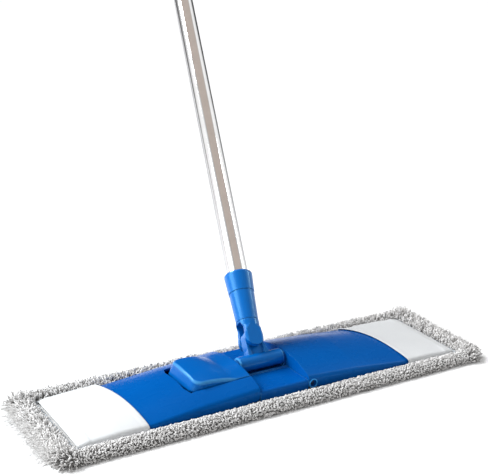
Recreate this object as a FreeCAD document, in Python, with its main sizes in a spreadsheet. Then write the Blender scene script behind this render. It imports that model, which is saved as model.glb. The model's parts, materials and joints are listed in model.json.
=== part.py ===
import FreeCAD, Part
import math
import os
import Sketcher

# Flat mop: microfibre pad with end pockets, folding frame, universal joint and tube handle.
# Millimetres. +X runs along the pad, +Y to its back edge, +Z up.
# The origin is the middle of the pad's wiping face.

V = FreeCAD.Vector
X_AXIS = V(1, 0, 0)
Y_AXIS = V(0, 1, 0)
Z_AXIS = V(0, 0, 1)
LEFT = -1
RIGHT = 1
ORIGIN_POINT = (-1, 1)
H_AXIS = -1
V_AXIS = -2

doc = FreeCAD.newDocument("FlatMop")
sheet = doc.addObject("Spreadsheet::Sheet", "Sizes")

SIZES = [
    # pad
    ("pad_length", 500.0),
    ("pad_width", 143.0),
    ("sole_length", 461.6),
    ("sole_width", 107.2),
    ("sole_thickness", 6.0),
    ("fringe_gap", 0.2),
    ("fringe_height", 11.4),
    ("fringe_outer_height", 5.5),
    ("fringe_slope", 7.0),
    ("fringe_inner_height", 10.0),
    ("fringe_shoulder", 3.6),
    ("fringe_edge_drop", 0.4),
    ("fringe_flat", 4.0),
    ("hem_height", 1.6),
    ("hem_side_width", 1.2),
    ("hem_end_width", 4.4),
    # pockets: cloth arches over the wing tips
    ("pocket_mouth", 155.0),
    ("pocket_shoulder", 212.0),
    ("pocket_end", 225.6),
    ("cloth", 1.0),
    ("pocket_half", 52.2),
    ("pocket_mouth_crown", 20.8),
    ("pocket_mouth_radius", 150.0),
    ("pocket_mouth_corner", 4.0),
    ("pocket_shoulder_crown", 14.8),
    ("pocket_shoulder_radius", 330.0),
    ("pocket_shoulder_corner", 4.5),
    ("pocket_end_half", 51.0),
    ("pocket_end_crown", 9.4),
    ("pocket_end_radius", 1500.0),
    ("pocket_end_corner", 1.4),
    # frame heights
    ("frame_base", 6.3),
    ("plate", 1.6),
    ("shell", 2.4),
    ("frame_half", 50.8),
    # wings: arched sections from the seam to the tip
    ("seam", 29.4),
    ("seam_crown", 31.4),
    ("seam_radius", 124.0),
    ("seam_corner", 5.0),
    ("waist", 92.0),
    ("waist_crown", 27.2),
    ("waist_radius", 124.0),
    ("waist_corner", 5.5),
    ("reach", 155.0),
    ("reach_crown", 19.4),
    ("reach_radius", 150.0),
    ("reach_corner", 3.0),
    ("tip", 212.0),
    ("tip_half", 47.0),
    ("tip_crown", 13.4),
    ("tip_radius", 330.0),
    ("tip_corner", 1.6),
    # fold hinges
    ("fold_x", 34.5),
    ("fold_z", 12.8),
    ("fold_pin", 2.5),
    ("running_gap", 0.05),
    ("lug_inner", 42.9),
    ("lug_thickness", 4.6),
    ("lug_radius", 4.0),
    ("knuckle_radius", 5.0),
    ("knuckle_inner", 38.0),
    ("pin_hole", 3.8),
    ("pin_hole_depth", 1.6),
    ("rim_height", 0.5),
    ("lug_side_gap", 0.5),
    ("lug_end_gap", 0.6),
    ("hinge_pin_inset", 1.5),
    # centre block
    ("block_half", 29.0),
    ("block_lip", 17.5),
    ("block_floor", 16.3),
    ("block_ledge", 17.6),
    ("ledge_y", 11.4),
    ("ledge_width", 1.5),
    ("trough_half", 9.8),
    ("trough_floor", 14.9),
    ("lip_radius", 2.6),
    ("lip_width", 3.4),
    ("cavity_front", 47.6),
    ("cavity_back", 13.0),
    ("cavity_half", 26.4),
    ("cavity_top", 13.8),
    ("keeper_thickness", 1.4),
    ("keeper_half", 7.0),
    ("keeper_low", 11.0),
    ("keeper_high", 14.4),
    # lower barrel joint
    ("barrel_z", 24.5),
    ("axle_radius", 3.0),
    ("axle_half", 28.7),
    ("bearing_radius", 6.6),
    ("bearing_wall", 2.2),
    ("barrel_radius", 8.5),
    ("barrel_half", 25.2),
    ("bush_radius", 5.0),
    ("bush_length", 12.0),
    ("bush_flange", 7.9),
    ("bush_flange_width", 1.1),
    # yoke and ears
    ("pin_height", 25.0),
    ("tongue", 11.4),
    ("tongue_foot", 12.4),
    ("tongue_waist", 10.9),
    ("tongue_head", 9.6),
    ("tongue_recess", 2.2),
    ("recess_half", 7.9),
    ("recess_low", 5.0),
    ("recess_high", 17.5),
    ("tongue_flare_low", 7.0),
    ("tongue_flare_high", 13.0),
    ("ear_pin", 3.0),
    ("ear_bush", 4.5),
    ("ear_radius", 10.5),
    ("ear_turn", 12.6),
    ("ear_face", 12.3),
    ("ear_edge", 14.6),
    ("ear_gap", 12.2),
    ("ear_neck", 8.9),
    ("ear_neck_top", 12.0),
    ("ear_flare_low", 8.0),
    ("ear_flare_high", 13.0),
    ("ear_slot_top", 17.5),
    ("ear_pin_start", 9.4),
    ("ear_cap", 4.6),
    ("ear_cap_depth", 1.6),
    # socket, collar and tube, measured up from the ear pin
    ("socket_foot", 19.4),
    ("socket_step", 20.4),
    ("socket_low", 12.35),
    ("socket_top", 53.4),
    ("socket_high", 13.9),
    ("socket_bore", 9.0),
    ("socket_floor", 26.0),
    ("collar_foot", 53.9),
    ("collar_low", 14.3),
    ("collar_top", 76.6),
    ("collar_high", 15.7),
    ("collet_radius", 12.7),
    ("collet_slot_half", 0.6),
    ("collet_slot_foot", 58.0),
    ("collet_top_gap", 0.8),
    ("tube_radius", 11.5),
    ("tube_wall", 1.1),
    ("tube_foot", 44.2),
    ("tube_top", 1176.0),
    ("plug_length", 14.0),
    ("grip_foot", 1046.0),
    ("grip_radius", 14.2),
    ("groove_depth", 1.7),
    ("groove_floor", 2.0),
    ("groove_flare", 1.4),
    ("first_groove", 16.0),
    ("groove_pitch", 11.0),
    ("cap_radius", 14.6),
    ("cap_skirt", 5.0),
    ("cap_dome", 11.0),
    ("eye_radius", 5.0),
    ("eye_height", 1201.0),
    ("eye_half", 11.0),
    ("eye_thickness", 9.0),
    # foot pedal and latch
    ("pedal_nose", 96.6),
    ("pedal_nose_half", 26.0),
    ("pedal_nose_crown", 28.4),
    ("pedal_nose_radius", 130.0),
    ("pedal_nose_corner", 3.0),
    ("pedal_shoulder", 94.9),
    ("pedal_shoulder_half", 27.6),
    ("pedal_shoulder_crown", 32.2),
    ("pedal_shoulder_radius", 135.0),
    ("pedal_shoulder_corner", 4.5),
    ("pedal_left", 91.4),
    ("pedal_left_half", 28.6),
    ("pedal_left_crown", 34.6),
    ("pedal_left_radius", 140.0),
    ("pedal_left_corner", 5.5),
    ("pedal_middle", 75.0),
    ("pedal_middle_half", 29.4),
    ("pedal_middle_crown", 35.0),
    ("pedal_middle_radius", 140.0),
    ("pedal_middle_corner", 5.5),
    ("pedal_crease", 50.0),
    ("pedal_crease_half", 29.6),
    ("pedal_crease_crown", 30.9),
    ("pedal_crease_radius", 124.0),
    ("pedal_crease_corner", 2.6),
    ("pedal_right", 29.9),
    ("pedal_right_half", 31.0),
    ("pedal_right_crown", 31.4),
    ("pedal_right_radius", 124.0),
    ("pedal_right_corner", 2.4),
    ("pedal_base", 20.5),
    ("pedal_gap", 0.9),
    ("pedal_end_gap", 3.9),
    ("pedal_shell", 2.2),
    ("pedal_pivot_x", 44.0),
    ("pedal_pivot_z", 19.5),
    ("pedal_pin", 2.0),
    ("spring_leaf", 0.7),
    ("spring_rest", 19.1),
    ("spring_end", 56.0),
    ("spring_bend", 66.2),
    ("spring_crest", 86.0),
    ("spring_tip", 90.0),
    ("spring_half", 5.0),
    ("post_left", 90.0),
    ("post_right", 84.0),
    ("post_half", 6.0),
    ("post_foot", 20.1),
    ("rib_inner", 22.0),
    ("rib_outer", 26.0),
    ("rib_half", 4.0),
    ("rib_drop", 3.6),
    ("pivot_pin_half", 38.0),
    ("pivot_clear_half", 36.0),
    ("pivot_boss_inner", 34.0),
    ("pivot_boss_outer", 38.5),
    ("pivot_boss_half", 4.5),
    ("pivot_boss_drop", 4.0),
    ("pivot_boss_top", 23.4),
    ("opening_top", 44.0),
    ("opening_floor", 17.0),
    ("opening_corner_x", 3.4),
    ("opening_corner_y", 9.5),
    ("window_half", 8.5),
    ("window_low", 11.0),
    ("window_high", 20.0),
    # latch hook: hangs inside the pedal's right wall, then steps past the hinge pin
    ("hook_left", 34.0),
    ("hook_right", 32.2),
    ("hook_step", 16.0),
    ("hook_thickness", 1.4),
    ("hook_leg_left", 31.5),
    ("hook_leg_right", 30.3),
    ("hook_foot", 12.3),
    ("hook_tooth", 13.4),
    ("hook_reach", 29.9),
    ("hook_half", 6.0),
    ("hook_play", 0.25),
    # screws
    ("screw_radius", 1.5),
    ("screw_head", 3.0),
    ("screw_reach", 3.8),
    ("boss_radius", 3.2),
    ("slot_length", 4.0),
    ("slot_width", 0.8),
    ("slot_depth", 0.7),
    ("centre_screw_x", 20.0),
    ("centre_screw_y", 42.0),
    ("wing_screw_near", 60.0),
    ("wing_screw_far", 186.0),
    ("wing_screw_y", 36.0),
    # how the handle leans at rest, in degrees
    ("lean_back", 46.0),
    ("lean_side", 11.2),
]
for row, (alias, value) in enumerate(SIZES, start=1):
    sheet.set("A%d" % row, alias)
    sheet.set("B%d" % row, str(value))
    sheet.setAlias("B%d" % row, alias)
doc.recompute()


def size(alias):
    return float(sheet.get(alias))


def bound(text):
    """An expression with each spreadsheet alias given its sheet's name."""
    words = []
    for word in text.split():
        words.append("Sizes." + word if word[0].isalpha() else word)
    return " ".join(words)


SUBPARTS = []


def sub_part(obj, label, placement=None):
    obj.Label = label
    if placement is not None:
        obj.Placement = placement
    SUBPARTS.append(obj)
    return obj


# ---------- sketch and feature helpers ----------

def new_body(name):
    return doc.addObject("PartDesign::Body", name + "_body")


def origin_plane(body, role):
    for feature in body.Origin.OriginFeatures:
        if feature.Role == role:
            return feature
    raise ValueError(role)


def new_sketch(body, name, role, offset="0"):
    sketch = body.newObject("Sketcher::SketchObject", name)
    sketch.AttachmentSupport = (origin_plane(body, role), "")
    sketch.MapMode = "FlatFace"
    if offset != "0":
        sketch.setExpression(".AttachmentOffset.Base.z", bound(offset))
    return sketch


def fix_point(sketch, geometry, end, across, up):
    """Place one sketch point by expressions across and up from the origin."""
    for kind, text, axis in (("DistanceX", across, V_AXIS), ("DistanceY", up, H_AXIS)):
        if text == "0":
            sketch.addConstraint(Sketcher.Constraint("PointOnObject", geometry, end, axis))
            continue
        constraint = Sketcher.Constraint(kind, *ORIGIN_POINT, geometry, end, 1.0)
        index = sketch.addConstraint(constraint)
        sketch.setExpression("Constraints[%d]" % index, bound(text))


def polygon(sketch, corners):
    """A closed outline whose corners are pairs of expressions."""
    count = len(corners)
    start = []
    for i in range(count):
        turn = 2 * math.pi * i / count
        start.append(V(20 * math.cos(turn), 20 * math.sin(turn), 0))
    for i in range(count):
        sketch.addGeometry(Part.LineSegment(start[i], start[(i + 1) % count]), False)
    for i in range(count):
        following = (i + 1) % count
        sketch.addConstraint(Sketcher.Constraint("Coincident", i, 2, following, 1))
    for i, (across, up) in enumerate(corners):
        fix_point(sketch, i, 1, across, up)
    return sketch


def arch(sketch, half, crown, radius, corner, base):
    """A closed arch: flat base, upright sides, rounded shoulders and a wide top arc."""
    w, top, big, small, low = [value_of(text) for text in (half, crown, radius, corner, base)]
    big_z = top - big
    small_z = big_z + math.sqrt((big - small) ** 2 - (w - small) ** 2)
    lean = math.atan2(small_z - big_z, w - small)
    right = V(w - small, small_z, 0)
    left = V(small - w, small_z, 0)
    middle = V(0, big_z, 0)
    touch = middle + V(math.cos(lean), math.sin(lean), 0) * big
    mirror = V(-touch.x, touch.y, 0)
    sketch.addGeometry(Part.LineSegment(V(-w, low, 0), V(w, low, 0)), False)
    sketch.addGeometry(Part.LineSegment(V(w, low, 0), V(w, small_z, 0)), False)
    sketch.addGeometry(Part.ArcOfCircle(Part.Circle(right, Z_AXIS, small), 0, lean), False)
    sketch.addGeometry(Part.ArcOfCircle(Part.Circle(middle, Z_AXIS, big), lean, math.pi - lean), False)
    sketch.addGeometry(Part.ArcOfCircle(Part.Circle(left, Z_AXIS, small), math.pi - lean, math.pi), False)
    sketch.addGeometry(Part.LineSegment(V(-w, small_z, 0), V(-w, low, 0)), False)
    sketch.addConstraint(Sketcher.Constraint("Coincident", 0, 2, 1, 1))
    sketch.addConstraint(Sketcher.Constraint("Tangent", 1, 2, 2, 1))
    sketch.addConstraint(Sketcher.Constraint("Tangent", 2, 2, 3, 1))
    sketch.addConstraint(Sketcher.Constraint("Tangent", 3, 2, 4, 1))
    sketch.addConstraint(Sketcher.Constraint("Tangent", 4, 2, 5, 1))
    sketch.addConstraint(Sketcher.Constraint("Coincident", 5, 2, 0, 1))
    sketch.addConstraint(Sketcher.Constraint("Vertical", 1))
    sketch.addConstraint(Sketcher.Constraint("Vertical", 5))
    sketch.addConstraint(Sketcher.Constraint("Equal", 2, 4))
    sketch.addConstraint(Sketcher.Constraint("PointOnObject", 3, 3, V_AXIS))
    wide = sketch.addConstraint(Sketcher.Constraint("Radius", 3, big))
    sketch.setExpression("Constraints[%d]" % wide, bound(radius))
    tight = sketch.addConstraint(Sketcher.Constraint("Radius", 2, small))
    sketch.setExpression("Constraints[%d]" % tight, bound(corner))
    rise = sketch.addConstraint(Sketcher.Constraint("DistanceY", *ORIGIN_POINT, 3, 3, big_z))
    sketch.setExpression("Constraints[%d]" % rise, bound("( %s ) - ( %s )" % (crown, radius)))
    fix_point(sketch, 0, 1, "- ( %s )" % half, base)
    fix_point(sketch, 0, 2, half, base)
    return sketch


def value_of(text):
    """The number that a sum of aliases and numbers comes to."""
    total = 0.0
    sign = 1.0
    for word in text.split():
        if word in ("+", "-"):
            sign = 1.0 if word == "+" else -1.0
        else:
            total += sign * (size(word) if word[0].isalpha() else float(word))
    return total


def loft(body, name, sketches, cut=False):
    kind = "PartDesign::SubtractiveLoft" if cut else "PartDesign::AdditiveLoft"
    feature = body.newObject(kind, name)
    feature.Profile = sketches[0]
    feature.Sections = sketches[1:]
    feature.Ruled = True
    return feature


def pad(body, name, sketch, length, midplane=False, backwards=False):
    feature = body.newObject("PartDesign::Pad", name)
    feature.Profile = sketch
    feature.setExpression("Length", bound(length))
    feature.Midplane = midplane
    feature.Reversed = backwards
    return feature


def pocket(body, name, sketch, length, backwards=False):
    feature = body.newObject("PartDesign::Pocket", name)
    feature.Profile = sketch
    feature.setExpression("Length", bound(length))
    feature.Reversed = backwards
    return feature


def turned(body, name, sketch, cut=False):
    kind = "PartDesign::Groove" if cut else "PartDesign::Revolution"
    feature = body.newObject(kind, name)
    feature.Profile = sketch
    feature.ReferenceAxis = (sketch, ["V_Axis"])
    feature.Angle = 360
    return feature


def box(body, name, low, high, cut=False):
    """A box between two corners, each three expressions."""
    kind = "PartDesign::SubtractiveBox" if cut else "PartDesign::AdditiveBox"
    feature = body.newObject(kind, name)
    for side, a, b in zip(("Length", "Width", "Height"), low, high):
        feature.setExpression(side, bound("( %s ) - ( %s )" % (b, a)))
    for axis, a in zip("xyz", low):
        feature.setExpression("Placement.Base." + axis, bound(a))
    return feature


TURNS = {
    "x": FreeCAD.Rotation(Y_AXIS, 90),
    "y": FreeCAD.Rotation(X_AXIS, -90),
    "z": FreeCAD.Rotation(),
}


def rod(body, name, start, along, radius, length, cut=False):
    """A cylinder from a start point, three expressions, along x, y or z."""
    kind = "PartDesign::SubtractiveCylinder" if cut else "PartDesign::AdditiveCylinder"
    feature = body.newObject(kind, name)
    feature.Placement = FreeCAD.Placement(V(), TURNS[along])
    feature.setExpression("Radius", bound(radius))
    feature.setExpression("Height", bound(length))
    for axis, a in zip("xyz", start):
        feature.setExpression("Placement.Base." + axis, bound(a))
    return feature


def round_edges(body, name, base, wanted, radius):
    """Fillet the edges of a feature that pass a test on their two end points."""
    doc.recompute()
    chosen = []
    for i, edge in enumerate(base.Shape.Edges, start=1):
        points = [vertex.Point for vertex in edge.Vertexes]
        if len(points) == 2 and wanted(points[0], points[1]):
            chosen.append("Edge%d" % i)
    feature = body.newObject("PartDesign::Fillet", name)
    feature.Base = (base, chosen)
    feature.setExpression("Radius", bound(radius))
    return feature


def plain_rod(name, radius, length, start, along="z"):
    """A Part cylinder with its size from the sheet."""
    cylinder = doc.addObject("Part::Cylinder", name)
    cylinder.setExpression("Radius", bound(radius))
    cylinder.setExpression("Height", bound(length))
    cylinder.Placement = FreeCAD.Placement(start, TURNS[along])
    return cylinder


def boolean(kind, name, base, tool):
    feature = doc.addObject("Part::" + kind, name)
    feature.Base = base
    feature.Tool = tool
    return feature


# ---------- pad ----------

def make_sole():
    body = new_body("sole")
    slab = box(body, "sole_slab", ("- sole_length / 2", "- sole_width / 2", "0"),
               ("sole_length / 2", "sole_width / 2", "sole_thickness"))
    body.Tip = slab
    sub_part(body, "pad_sole")


def fringe_outline(sketch, sign, outer, inner):
    """Section of a fringe border: low outside, rounded over, higher inside."""
    def across(text):
        return "%d * ( %s )" % (sign, text)
    corners = [
        (across(outer), "0"),
        (across(outer), "fringe_outer_height"),
        (across(outer + " - fringe_slope / 2"), "fringe_outer_height + fringe_shoulder"),
        (across(outer + " - fringe_slope"), "fringe_height - fringe_edge_drop"),
        (across(inner + " + fringe_flat"), "fringe_height"),
        (across(inner), "fringe_inner_height"),
        (across(inner), "0"),
    ]
    return polygon(sketch, corners)


def make_fringes():
    side_inner = "sole_width / 2 + fringe_gap"
    end_inner = "sole_length / 2 + fringe_gap"
    for name, sign in (("fringe_front", -1), ("fringe_back", 1)):
        body = new_body(name)
        sketch = new_sketch(body, name + "_section", "YZ_Plane")
        fringe_outline(sketch, sign, "pad_width / 2", side_inner)
        pad(body, name + "_bar", sketch, "pad_length", midplane=True)
        sub_part(body, name)
    for name, sign in (("fringe_left", -1), ("fringe_right", 1)):
        body = new_body(name)
        sketch = new_sketch(body, name + "_section", "XZ_Plane")
        fringe_outline(sketch, sign, "pad_length / 2", end_inner)
        pad(body, name + "_bar", sketch, "sole_width", midplane=True)
        sub_part(body, name)


def make_hem():
    body = new_body("hem")
    top = "sole_thickness + hem_height"
    box(body, "hem_ring", ("- sole_length / 2", "- sole_width / 2", "sole_thickness"),
        ("sole_length / 2", "sole_width / 2", top))
    box(body, "hem_opening",
        ("- sole_length / 2 + hem_end_width", "- sole_width / 2 + hem_side_width", "sole_thickness"),
        ("sole_length / 2 - hem_end_width", "sole_width / 2 - hem_side_width", top), cut=True)
    sub_part(body, "hem_tape")


POCKET_STATIONS = (
    # station, its half width, and how far the inside stops short of it
    ("pocket_mouth", "pocket_half", "- 0.5"),
    ("pocket_shoulder", "pocket_half", "+ 0"),
    ("pocket_end", "pocket_end_half", "- cloth"),
)


def make_pocket(name, sign):
    """A cloth arch over one wing tip, open towards the middle of the pad."""
    body = new_body(name)
    outer = []
    inner = []
    for station, half, shift in POCKET_STATIONS:
        crown, radius, corner = station + "_crown", station + "_radius", station + "_corner"
        sketch = new_sketch(body, "%s_%s" % (name, station), "YZ_Plane", "%d * %s" % (sign, station))
        outer.append(arch(sketch, half, crown, radius, corner, "sole_thickness + 0.05"))
        x = "%d * ( %s %s )" % (sign, station, shift)
        sketch = new_sketch(body, "%s_%s_inner" % (name, station), "YZ_Plane", x)
        inner.append(arch(sketch, half + " - cloth", crown + " - cloth", radius, corner,
                          "sole_thickness - 1"))
    loft(body, name + "_outer", outer)
    loft(body, name + "_inner", inner, cut=True)
    sub_part(body, name)


# ---------- centre block ----------

def make_centre_block():
    body = new_body("block")
    base = "frame_base + plate"
    sketch = new_sketch(body, "block_section", "YZ_Plane")
    front_half = [
        ("frame_half", base),
        ("frame_half", "block_lip"),
        ("frame_half - lip_width", "block_lip"),
        ("frame_half - 20", "block_floor"),
        ("ledge_y + 0.4", "block_floor + 0.1"),
        ("ledge_y", "block_ledge"),
        ("ledge_y - ledge_width", "block_ledge"),
        ("trough_half", "trough_floor"),
    ]
    corners = []
    for across, up in front_half:
        corners.append(("- ( %s )" % across, up))
    for across, up in reversed(front_half):
        corners.append((across, up))
    polygon(sketch, corners)
    block = pad(body, "block_bar", sketch, "2 * block_half", midplane=True)
    edge_y = size("frame_half")
    edge_z = size("block_lip")

    def outer_lip(a, b):
        level = abs(a.z - edge_z) < 0.01 and abs(b.z - edge_z) < 0.01
        return level and abs(abs(a.y) - edge_y) < 0.01 and abs(abs(b.y) - edge_y) < 0.01

    round_edges(body, "block_lip_round", block, outer_lip, "lip_radius")
    for end, sign in (("left", LEFT), ("right", RIGHT)):
        low, high = ("- block_half", "- block_half + bearing_wall")
        if sign == RIGHT:
            low, high = ("block_half - bearing_wall", "block_half")
        box(body, end + "_bearing_post", (low, "- bearing_radius", "trough_floor - 1"),
            (high, "bearing_radius", "barrel_z"))
        rod(body, end + "_bearing_head", (low, "0", "barrel_z"), "x", "bearing_radius", "bearing_wall")
    for face, sign in (("front", -1), ("back", 1)):
        near, far = "cavity_back", "cavity_front"
        if sign < 0:
            near, far = "- cavity_front", "- cavity_back"
        box(body, face + "_cavity", ("- cavity_half", near, "frame_base"),
            ("cavity_half", far, "cavity_top"), cut=True)
        for end, x in (("left", "- centre_screw_x"), ("right", "centre_screw_x")):
            y = "%d * centre_screw_y" % sign
            tag = "%s_boss_%s" % (face, end)
            rod(body, tag, (x, y, base), "z", "boss_radius", "cavity_top - ( %s )" % base)
            rod(body, tag + "_hole", (x, y, base), "z", "screw_radius", "screw_reach", cut=True)
    for x_sign in (LEFT, RIGHT):
        for y_sign in (-1, 1):
            tag = "lug_%d_%d" % (x_sign + 1, y_sign + 1)
            y = "lug_inner" if y_sign > 0 else "- lug_inner - lug_thickness"
            y_far = "lug_inner + lug_thickness" if y_sign > 0 else "- lug_inner"
            x_low = "block_half - 1" if x_sign > 0 else "- fold_x"
            x_high = "fold_x" if x_sign > 0 else "- block_half + 1"
            box(body, tag + "_arm", (x_low, y, "fold_z - lug_radius"), (x_high, y_far, "fold_z + lug_radius"))
            rod(body, tag + "_eye", ("%d * fold_x" % x_sign, y, "fold_z"), "y", "lug_radius", "lug_thickness")
            rod(body, tag + "_bore", ("%d * fold_x" % x_sign, y, "fold_z"), "y",
                "fold_pin + running_gap", "lug_thickness", cut=True)
    rod(body, "axle_bore", ("- block_half", "0", "barrel_z"), "x", "axle_radius", "2 * block_half", cut=True)
    last = box(body, "keeper_seat", ("- block_half", "- keeper_half", "keeper_low"),
               ("- block_half + keeper_thickness", "keeper_half", "keeper_high"), cut=True)
    body.Tip = last
    sub_part(body, "centre_block")


def make_centre_small_parts():
    body = new_body("centre_plate")
    box(body, "centre_plate_slab", ("- block_half", "- frame_half", "frame_base"),
        ("block_half", "frame_half", "frame_base + plate"))
    screw_x = size("centre_screw_x")
    screw_y = size("centre_screw_y")
    points = [(x, y) for x in (-screw_x, screw_x) for y in (-screw_y, screw_y)]
    for i, (x, y) in enumerate(points):
        cone = body.newObject("PartDesign::SubtractiveCone", "centre_sink_%d" % i)
        sink_cone(cone, x, y)
    sub_part(body, "centre_underplate")
    screws("centre_screws", points)
    keeper = doc.addObject("Part::Box", "keeper_bar")
    keeper.setExpression("Length", bound("keeper_thickness"))
    keeper.setExpression("Width", bound("2 * keeper_half"))
    keeper.setExpression("Height", bound("keeper_high - keeper_low"))
    keeper_corner = V(-size("block_half"), -size("keeper_half"), size("keeper_low"))
    sub_part(keeper, "latch_keeper", FreeCAD.Placement(keeper_corner, FreeCAD.Rotation()))
    axle = plain_rod("axle", "axle_radius", "2 * axle_half", V(-size("axle_half"), 0, size("barrel_z")), "x")
    sub_part(axle, "barrel_axle")


def sink_cone(cone, x, y):
    """A countersink that widens down to the plate's lower face."""
    cone.setExpression("Radius1", bound("screw_head"))
    cone.setExpression("Radius2", bound("screw_radius"))
    cone.setExpression("Height", bound("plate"))
    cone.Placement = FreeCAD.Placement(V(x, y, size("frame_base")), FreeCAD.Rotation())


def screws(label, points):
    """Countersunk screws pointing up, as one group."""
    pieces = []
    for i, (x, y) in enumerate(points):
        head = doc.addObject("Part::Cone", "%s_head_%d" % (label, i))
        sink_cone(head, x, y)
        shank_start = V(x, y, size("frame_base") + size("plate"))
        shank = plain_rod("%s_shank_%d" % (label, i), "screw_radius", "screw_reach", shank_start)
        slot = doc.addObject("Part::Box", "%s_slot_%d" % (label, i))
        slot.setExpression("Length", bound("slot_length"))
        slot.setExpression("Width", bound("slot_width"))
        slot.setExpression("Height", bound("slot_depth"))
        slot_corner = V(x - size("slot_length") / 2, y - size("slot_width") / 2, size("frame_base"))
        slot.Placement = FreeCAD.Placement(slot_corner, FreeCAD.Rotation())
        whole = boolean("Fuse", "%s_body_%d" % (label, i), head, shank)
        pieces.append(boolean("Cut", "%s_screw_%d" % (label, i), whole, slot))
    group = doc.addObject("Part::Compound", label + "_group")
    group.Links = pieces
    sub_part(group, label)


# ---------- wings ----------

WING_STATIONS = ("seam", "waist", "reach", "tip")


def station_half(station):
    return "tip_half" if station == "tip" else "frame_half"


def arch_height(x, y):
    """Height of the wing's outer surface above a point, between stations."""
    previous, following = None, None
    for a, b in zip(WING_STATIONS, WING_STATIONS[1:]):
        if size(a) <= abs(x) <= size(b):
            previous, following = a, b
    share = (abs(x) - size(previous)) / (size(following) - size(previous))
    crown = size(previous + "_crown") * (1 - share) + size(following + "_crown") * share
    radius = size(previous + "_radius") * (1 - share) + size(following + "_radius") * share
    return crown - radius + math.sqrt(radius ** 2 - y ** 2)


def wing_screw_points(sign):
    across = size("wing_screw_y")
    along = (size("wing_screw_near"), size("wing_screw_far"))
    return [(sign * x, y) for x in along for y in (-across, across)]


def make_wing(name, sign):
    body = new_body(name)
    outer = []
    inner = []
    for station in WING_STATIONS:
        x = "%d * %s" % (sign, station)
        sketch = new_sketch(body, "%s_%s" % (name, station), "YZ_Plane", x)
        outer.append(arch(sketch, station_half(station), station + "_crown", station + "_radius",
                          station + "_corner", "frame_base + plate"))
    inset = {"seam": "+ shell", "waist": "+ 0", "reach": "+ 0", "tip": "- shell"}
    for station in WING_STATIONS:
        x = "%d * ( %s %s )" % (sign, station, inset[station])
        sketch = new_sketch(body, "%s_%s_inner" % (name, station), "YZ_Plane", x)
        inner.append(arch(sketch, station_half(station) + " - shell", station + "_crown - shell",
                          station + "_radius", station + "_corner - 1", "frame_base"))
    loft(body, name + "_outer", outer)
    loft(body, name + "_inner", inner, cut=True)
    base = "frame_base + plate"
    for i, (x, y) in enumerate(wing_screw_points(sign)):
        top = arch_height(x, y) - size("shell") / 2
        tag = "%s_boss_%d" % (name, i)
        rod(body, tag, (str(x), str(y), base), "z", "boss_radius", "%.3f - ( %s )" % (top, base))
        rod(body, tag + "_hole", (str(x), str(y), base), "z", "screw_radius", "screw_reach", cut=True)
    add_knuckles(body, name, sign)
    last = bore_knuckles(body, name, sign)
    if sign < 0:
        last = cut_pedal_opening(body)
    body.Tip = last
    sub_part(body, name)


def add_knuckles(body, name, sign):
    """Round hinge knuckles at the wing's foot, slotted for the centre block's lugs."""
    near, far = ("seam - 1", "fold_x") if sign > 0 else ("- fold_x", "- seam + 1")
    box(body, name + "_foot_relief", (near, "- frame_half - 1", "frame_base"),
        (far, "frame_half + 1", "fold_z"), cut=True)
    near, far = "seam - 1", "fold_x + lug_radius + lug_end_gap"
    if sign < 0:
        near, far = "- fold_x - lug_radius - lug_end_gap", "- seam + 1"
    for end, start, low, high in (
            ("front", "- frame_half",
             "- lug_inner - lug_thickness - lug_side_gap", "- lug_inner + lug_side_gap"),
            ("back", "knuckle_inner",
             "lug_inner - lug_side_gap", "lug_inner + lug_thickness + lug_side_gap")):
        rod(body, "%s_%s_knuckle" % (name, end), ("%d * fold_x" % sign, start, "fold_z"), "y",
            "knuckle_radius", "frame_half - knuckle_inner")
        box(body, "%s_%s_slot" % (name, end), (near, low, "frame_base"),
            (far, high, "fold_z + lug_radius + lug_end_gap"), cut=True)


def bore_knuckles(body, name, sign):
    """The hinge pin's bore: sunk and rimmed at the right wing's front, plain elsewhere."""
    x = "%d * fold_x" % sign
    if sign < 0:
        return rod(body, name + "_pin_bore", (x, "- frame_half + 1", "fold_z"), "y", "fold_pin",
                   "2 * frame_half + 2", cut=True)
    rod(body, name + "_rim", (x, "- frame_half - rim_height", "fold_z"), "y", "knuckle_radius", "shell")
    rod(body, name + "_pin_hole", (x, "- frame_half - 2", "fold_z"), "y", "pin_hole",
        "2 + pin_hole_depth", cut=True)
    return rod(body, name + "_pin_bore", (x, "- frame_half - 2", "fold_z"), "y", "fold_pin",
               "2 * frame_half + 1", cut=True)


def cut_pedal_opening(body):
    """The plan of the foot pedal, with its gap, through the left wing's top."""
    for y_sign in (-1, 1):
        y_low = "pivot_boss_inner" if y_sign > 0 else "- pivot_boss_outer"
        y_high = "pivot_boss_outer" if y_sign > 0 else "- pivot_boss_inner"
        box(body, "pivot_boss_%d" % (y_sign + 1),
            ("- pedal_pivot_x - pivot_boss_half", y_low, "pedal_pivot_z - pivot_boss_drop"),
            ("- pedal_pivot_x + pivot_boss_half", y_high, "pivot_boss_top"))
    rod(body, "pivot_bore", ("- pedal_pivot_x", "- pivot_pin_half", "pedal_pivot_z"), "y", "pedal_pin",
        "2 * pivot_pin_half", cut=True)
    sketch = new_sketch(body, "pedal_opening_plan", "XY_Plane", "opening_top")
    left = "- pedal_nose - pedal_end_gap"
    right = "- seam + 1"
    cut_half = "pedal_left_half + pedal_gap - opening_corner_y"
    polygon(sketch, [
        (left + " + opening_corner_x", "- pedal_left_half - pedal_gap"),
        (right, "- pedal_right_half - pedal_gap"),
        (right, "pedal_right_half + pedal_gap"),
        (left + " + opening_corner_x", "pedal_left_half + pedal_gap"),
        (left, cut_half),
        (left, "- ( %s )" % cut_half),
    ])
    pocket(body, "pedal_opening", sketch, "opening_top - opening_floor")
    return box(body, "hook_window", ("- seam - shell - 1", "- window_half", "window_low"),
               ("- seam + 1", "window_half", "window_high"), cut=True)


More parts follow.
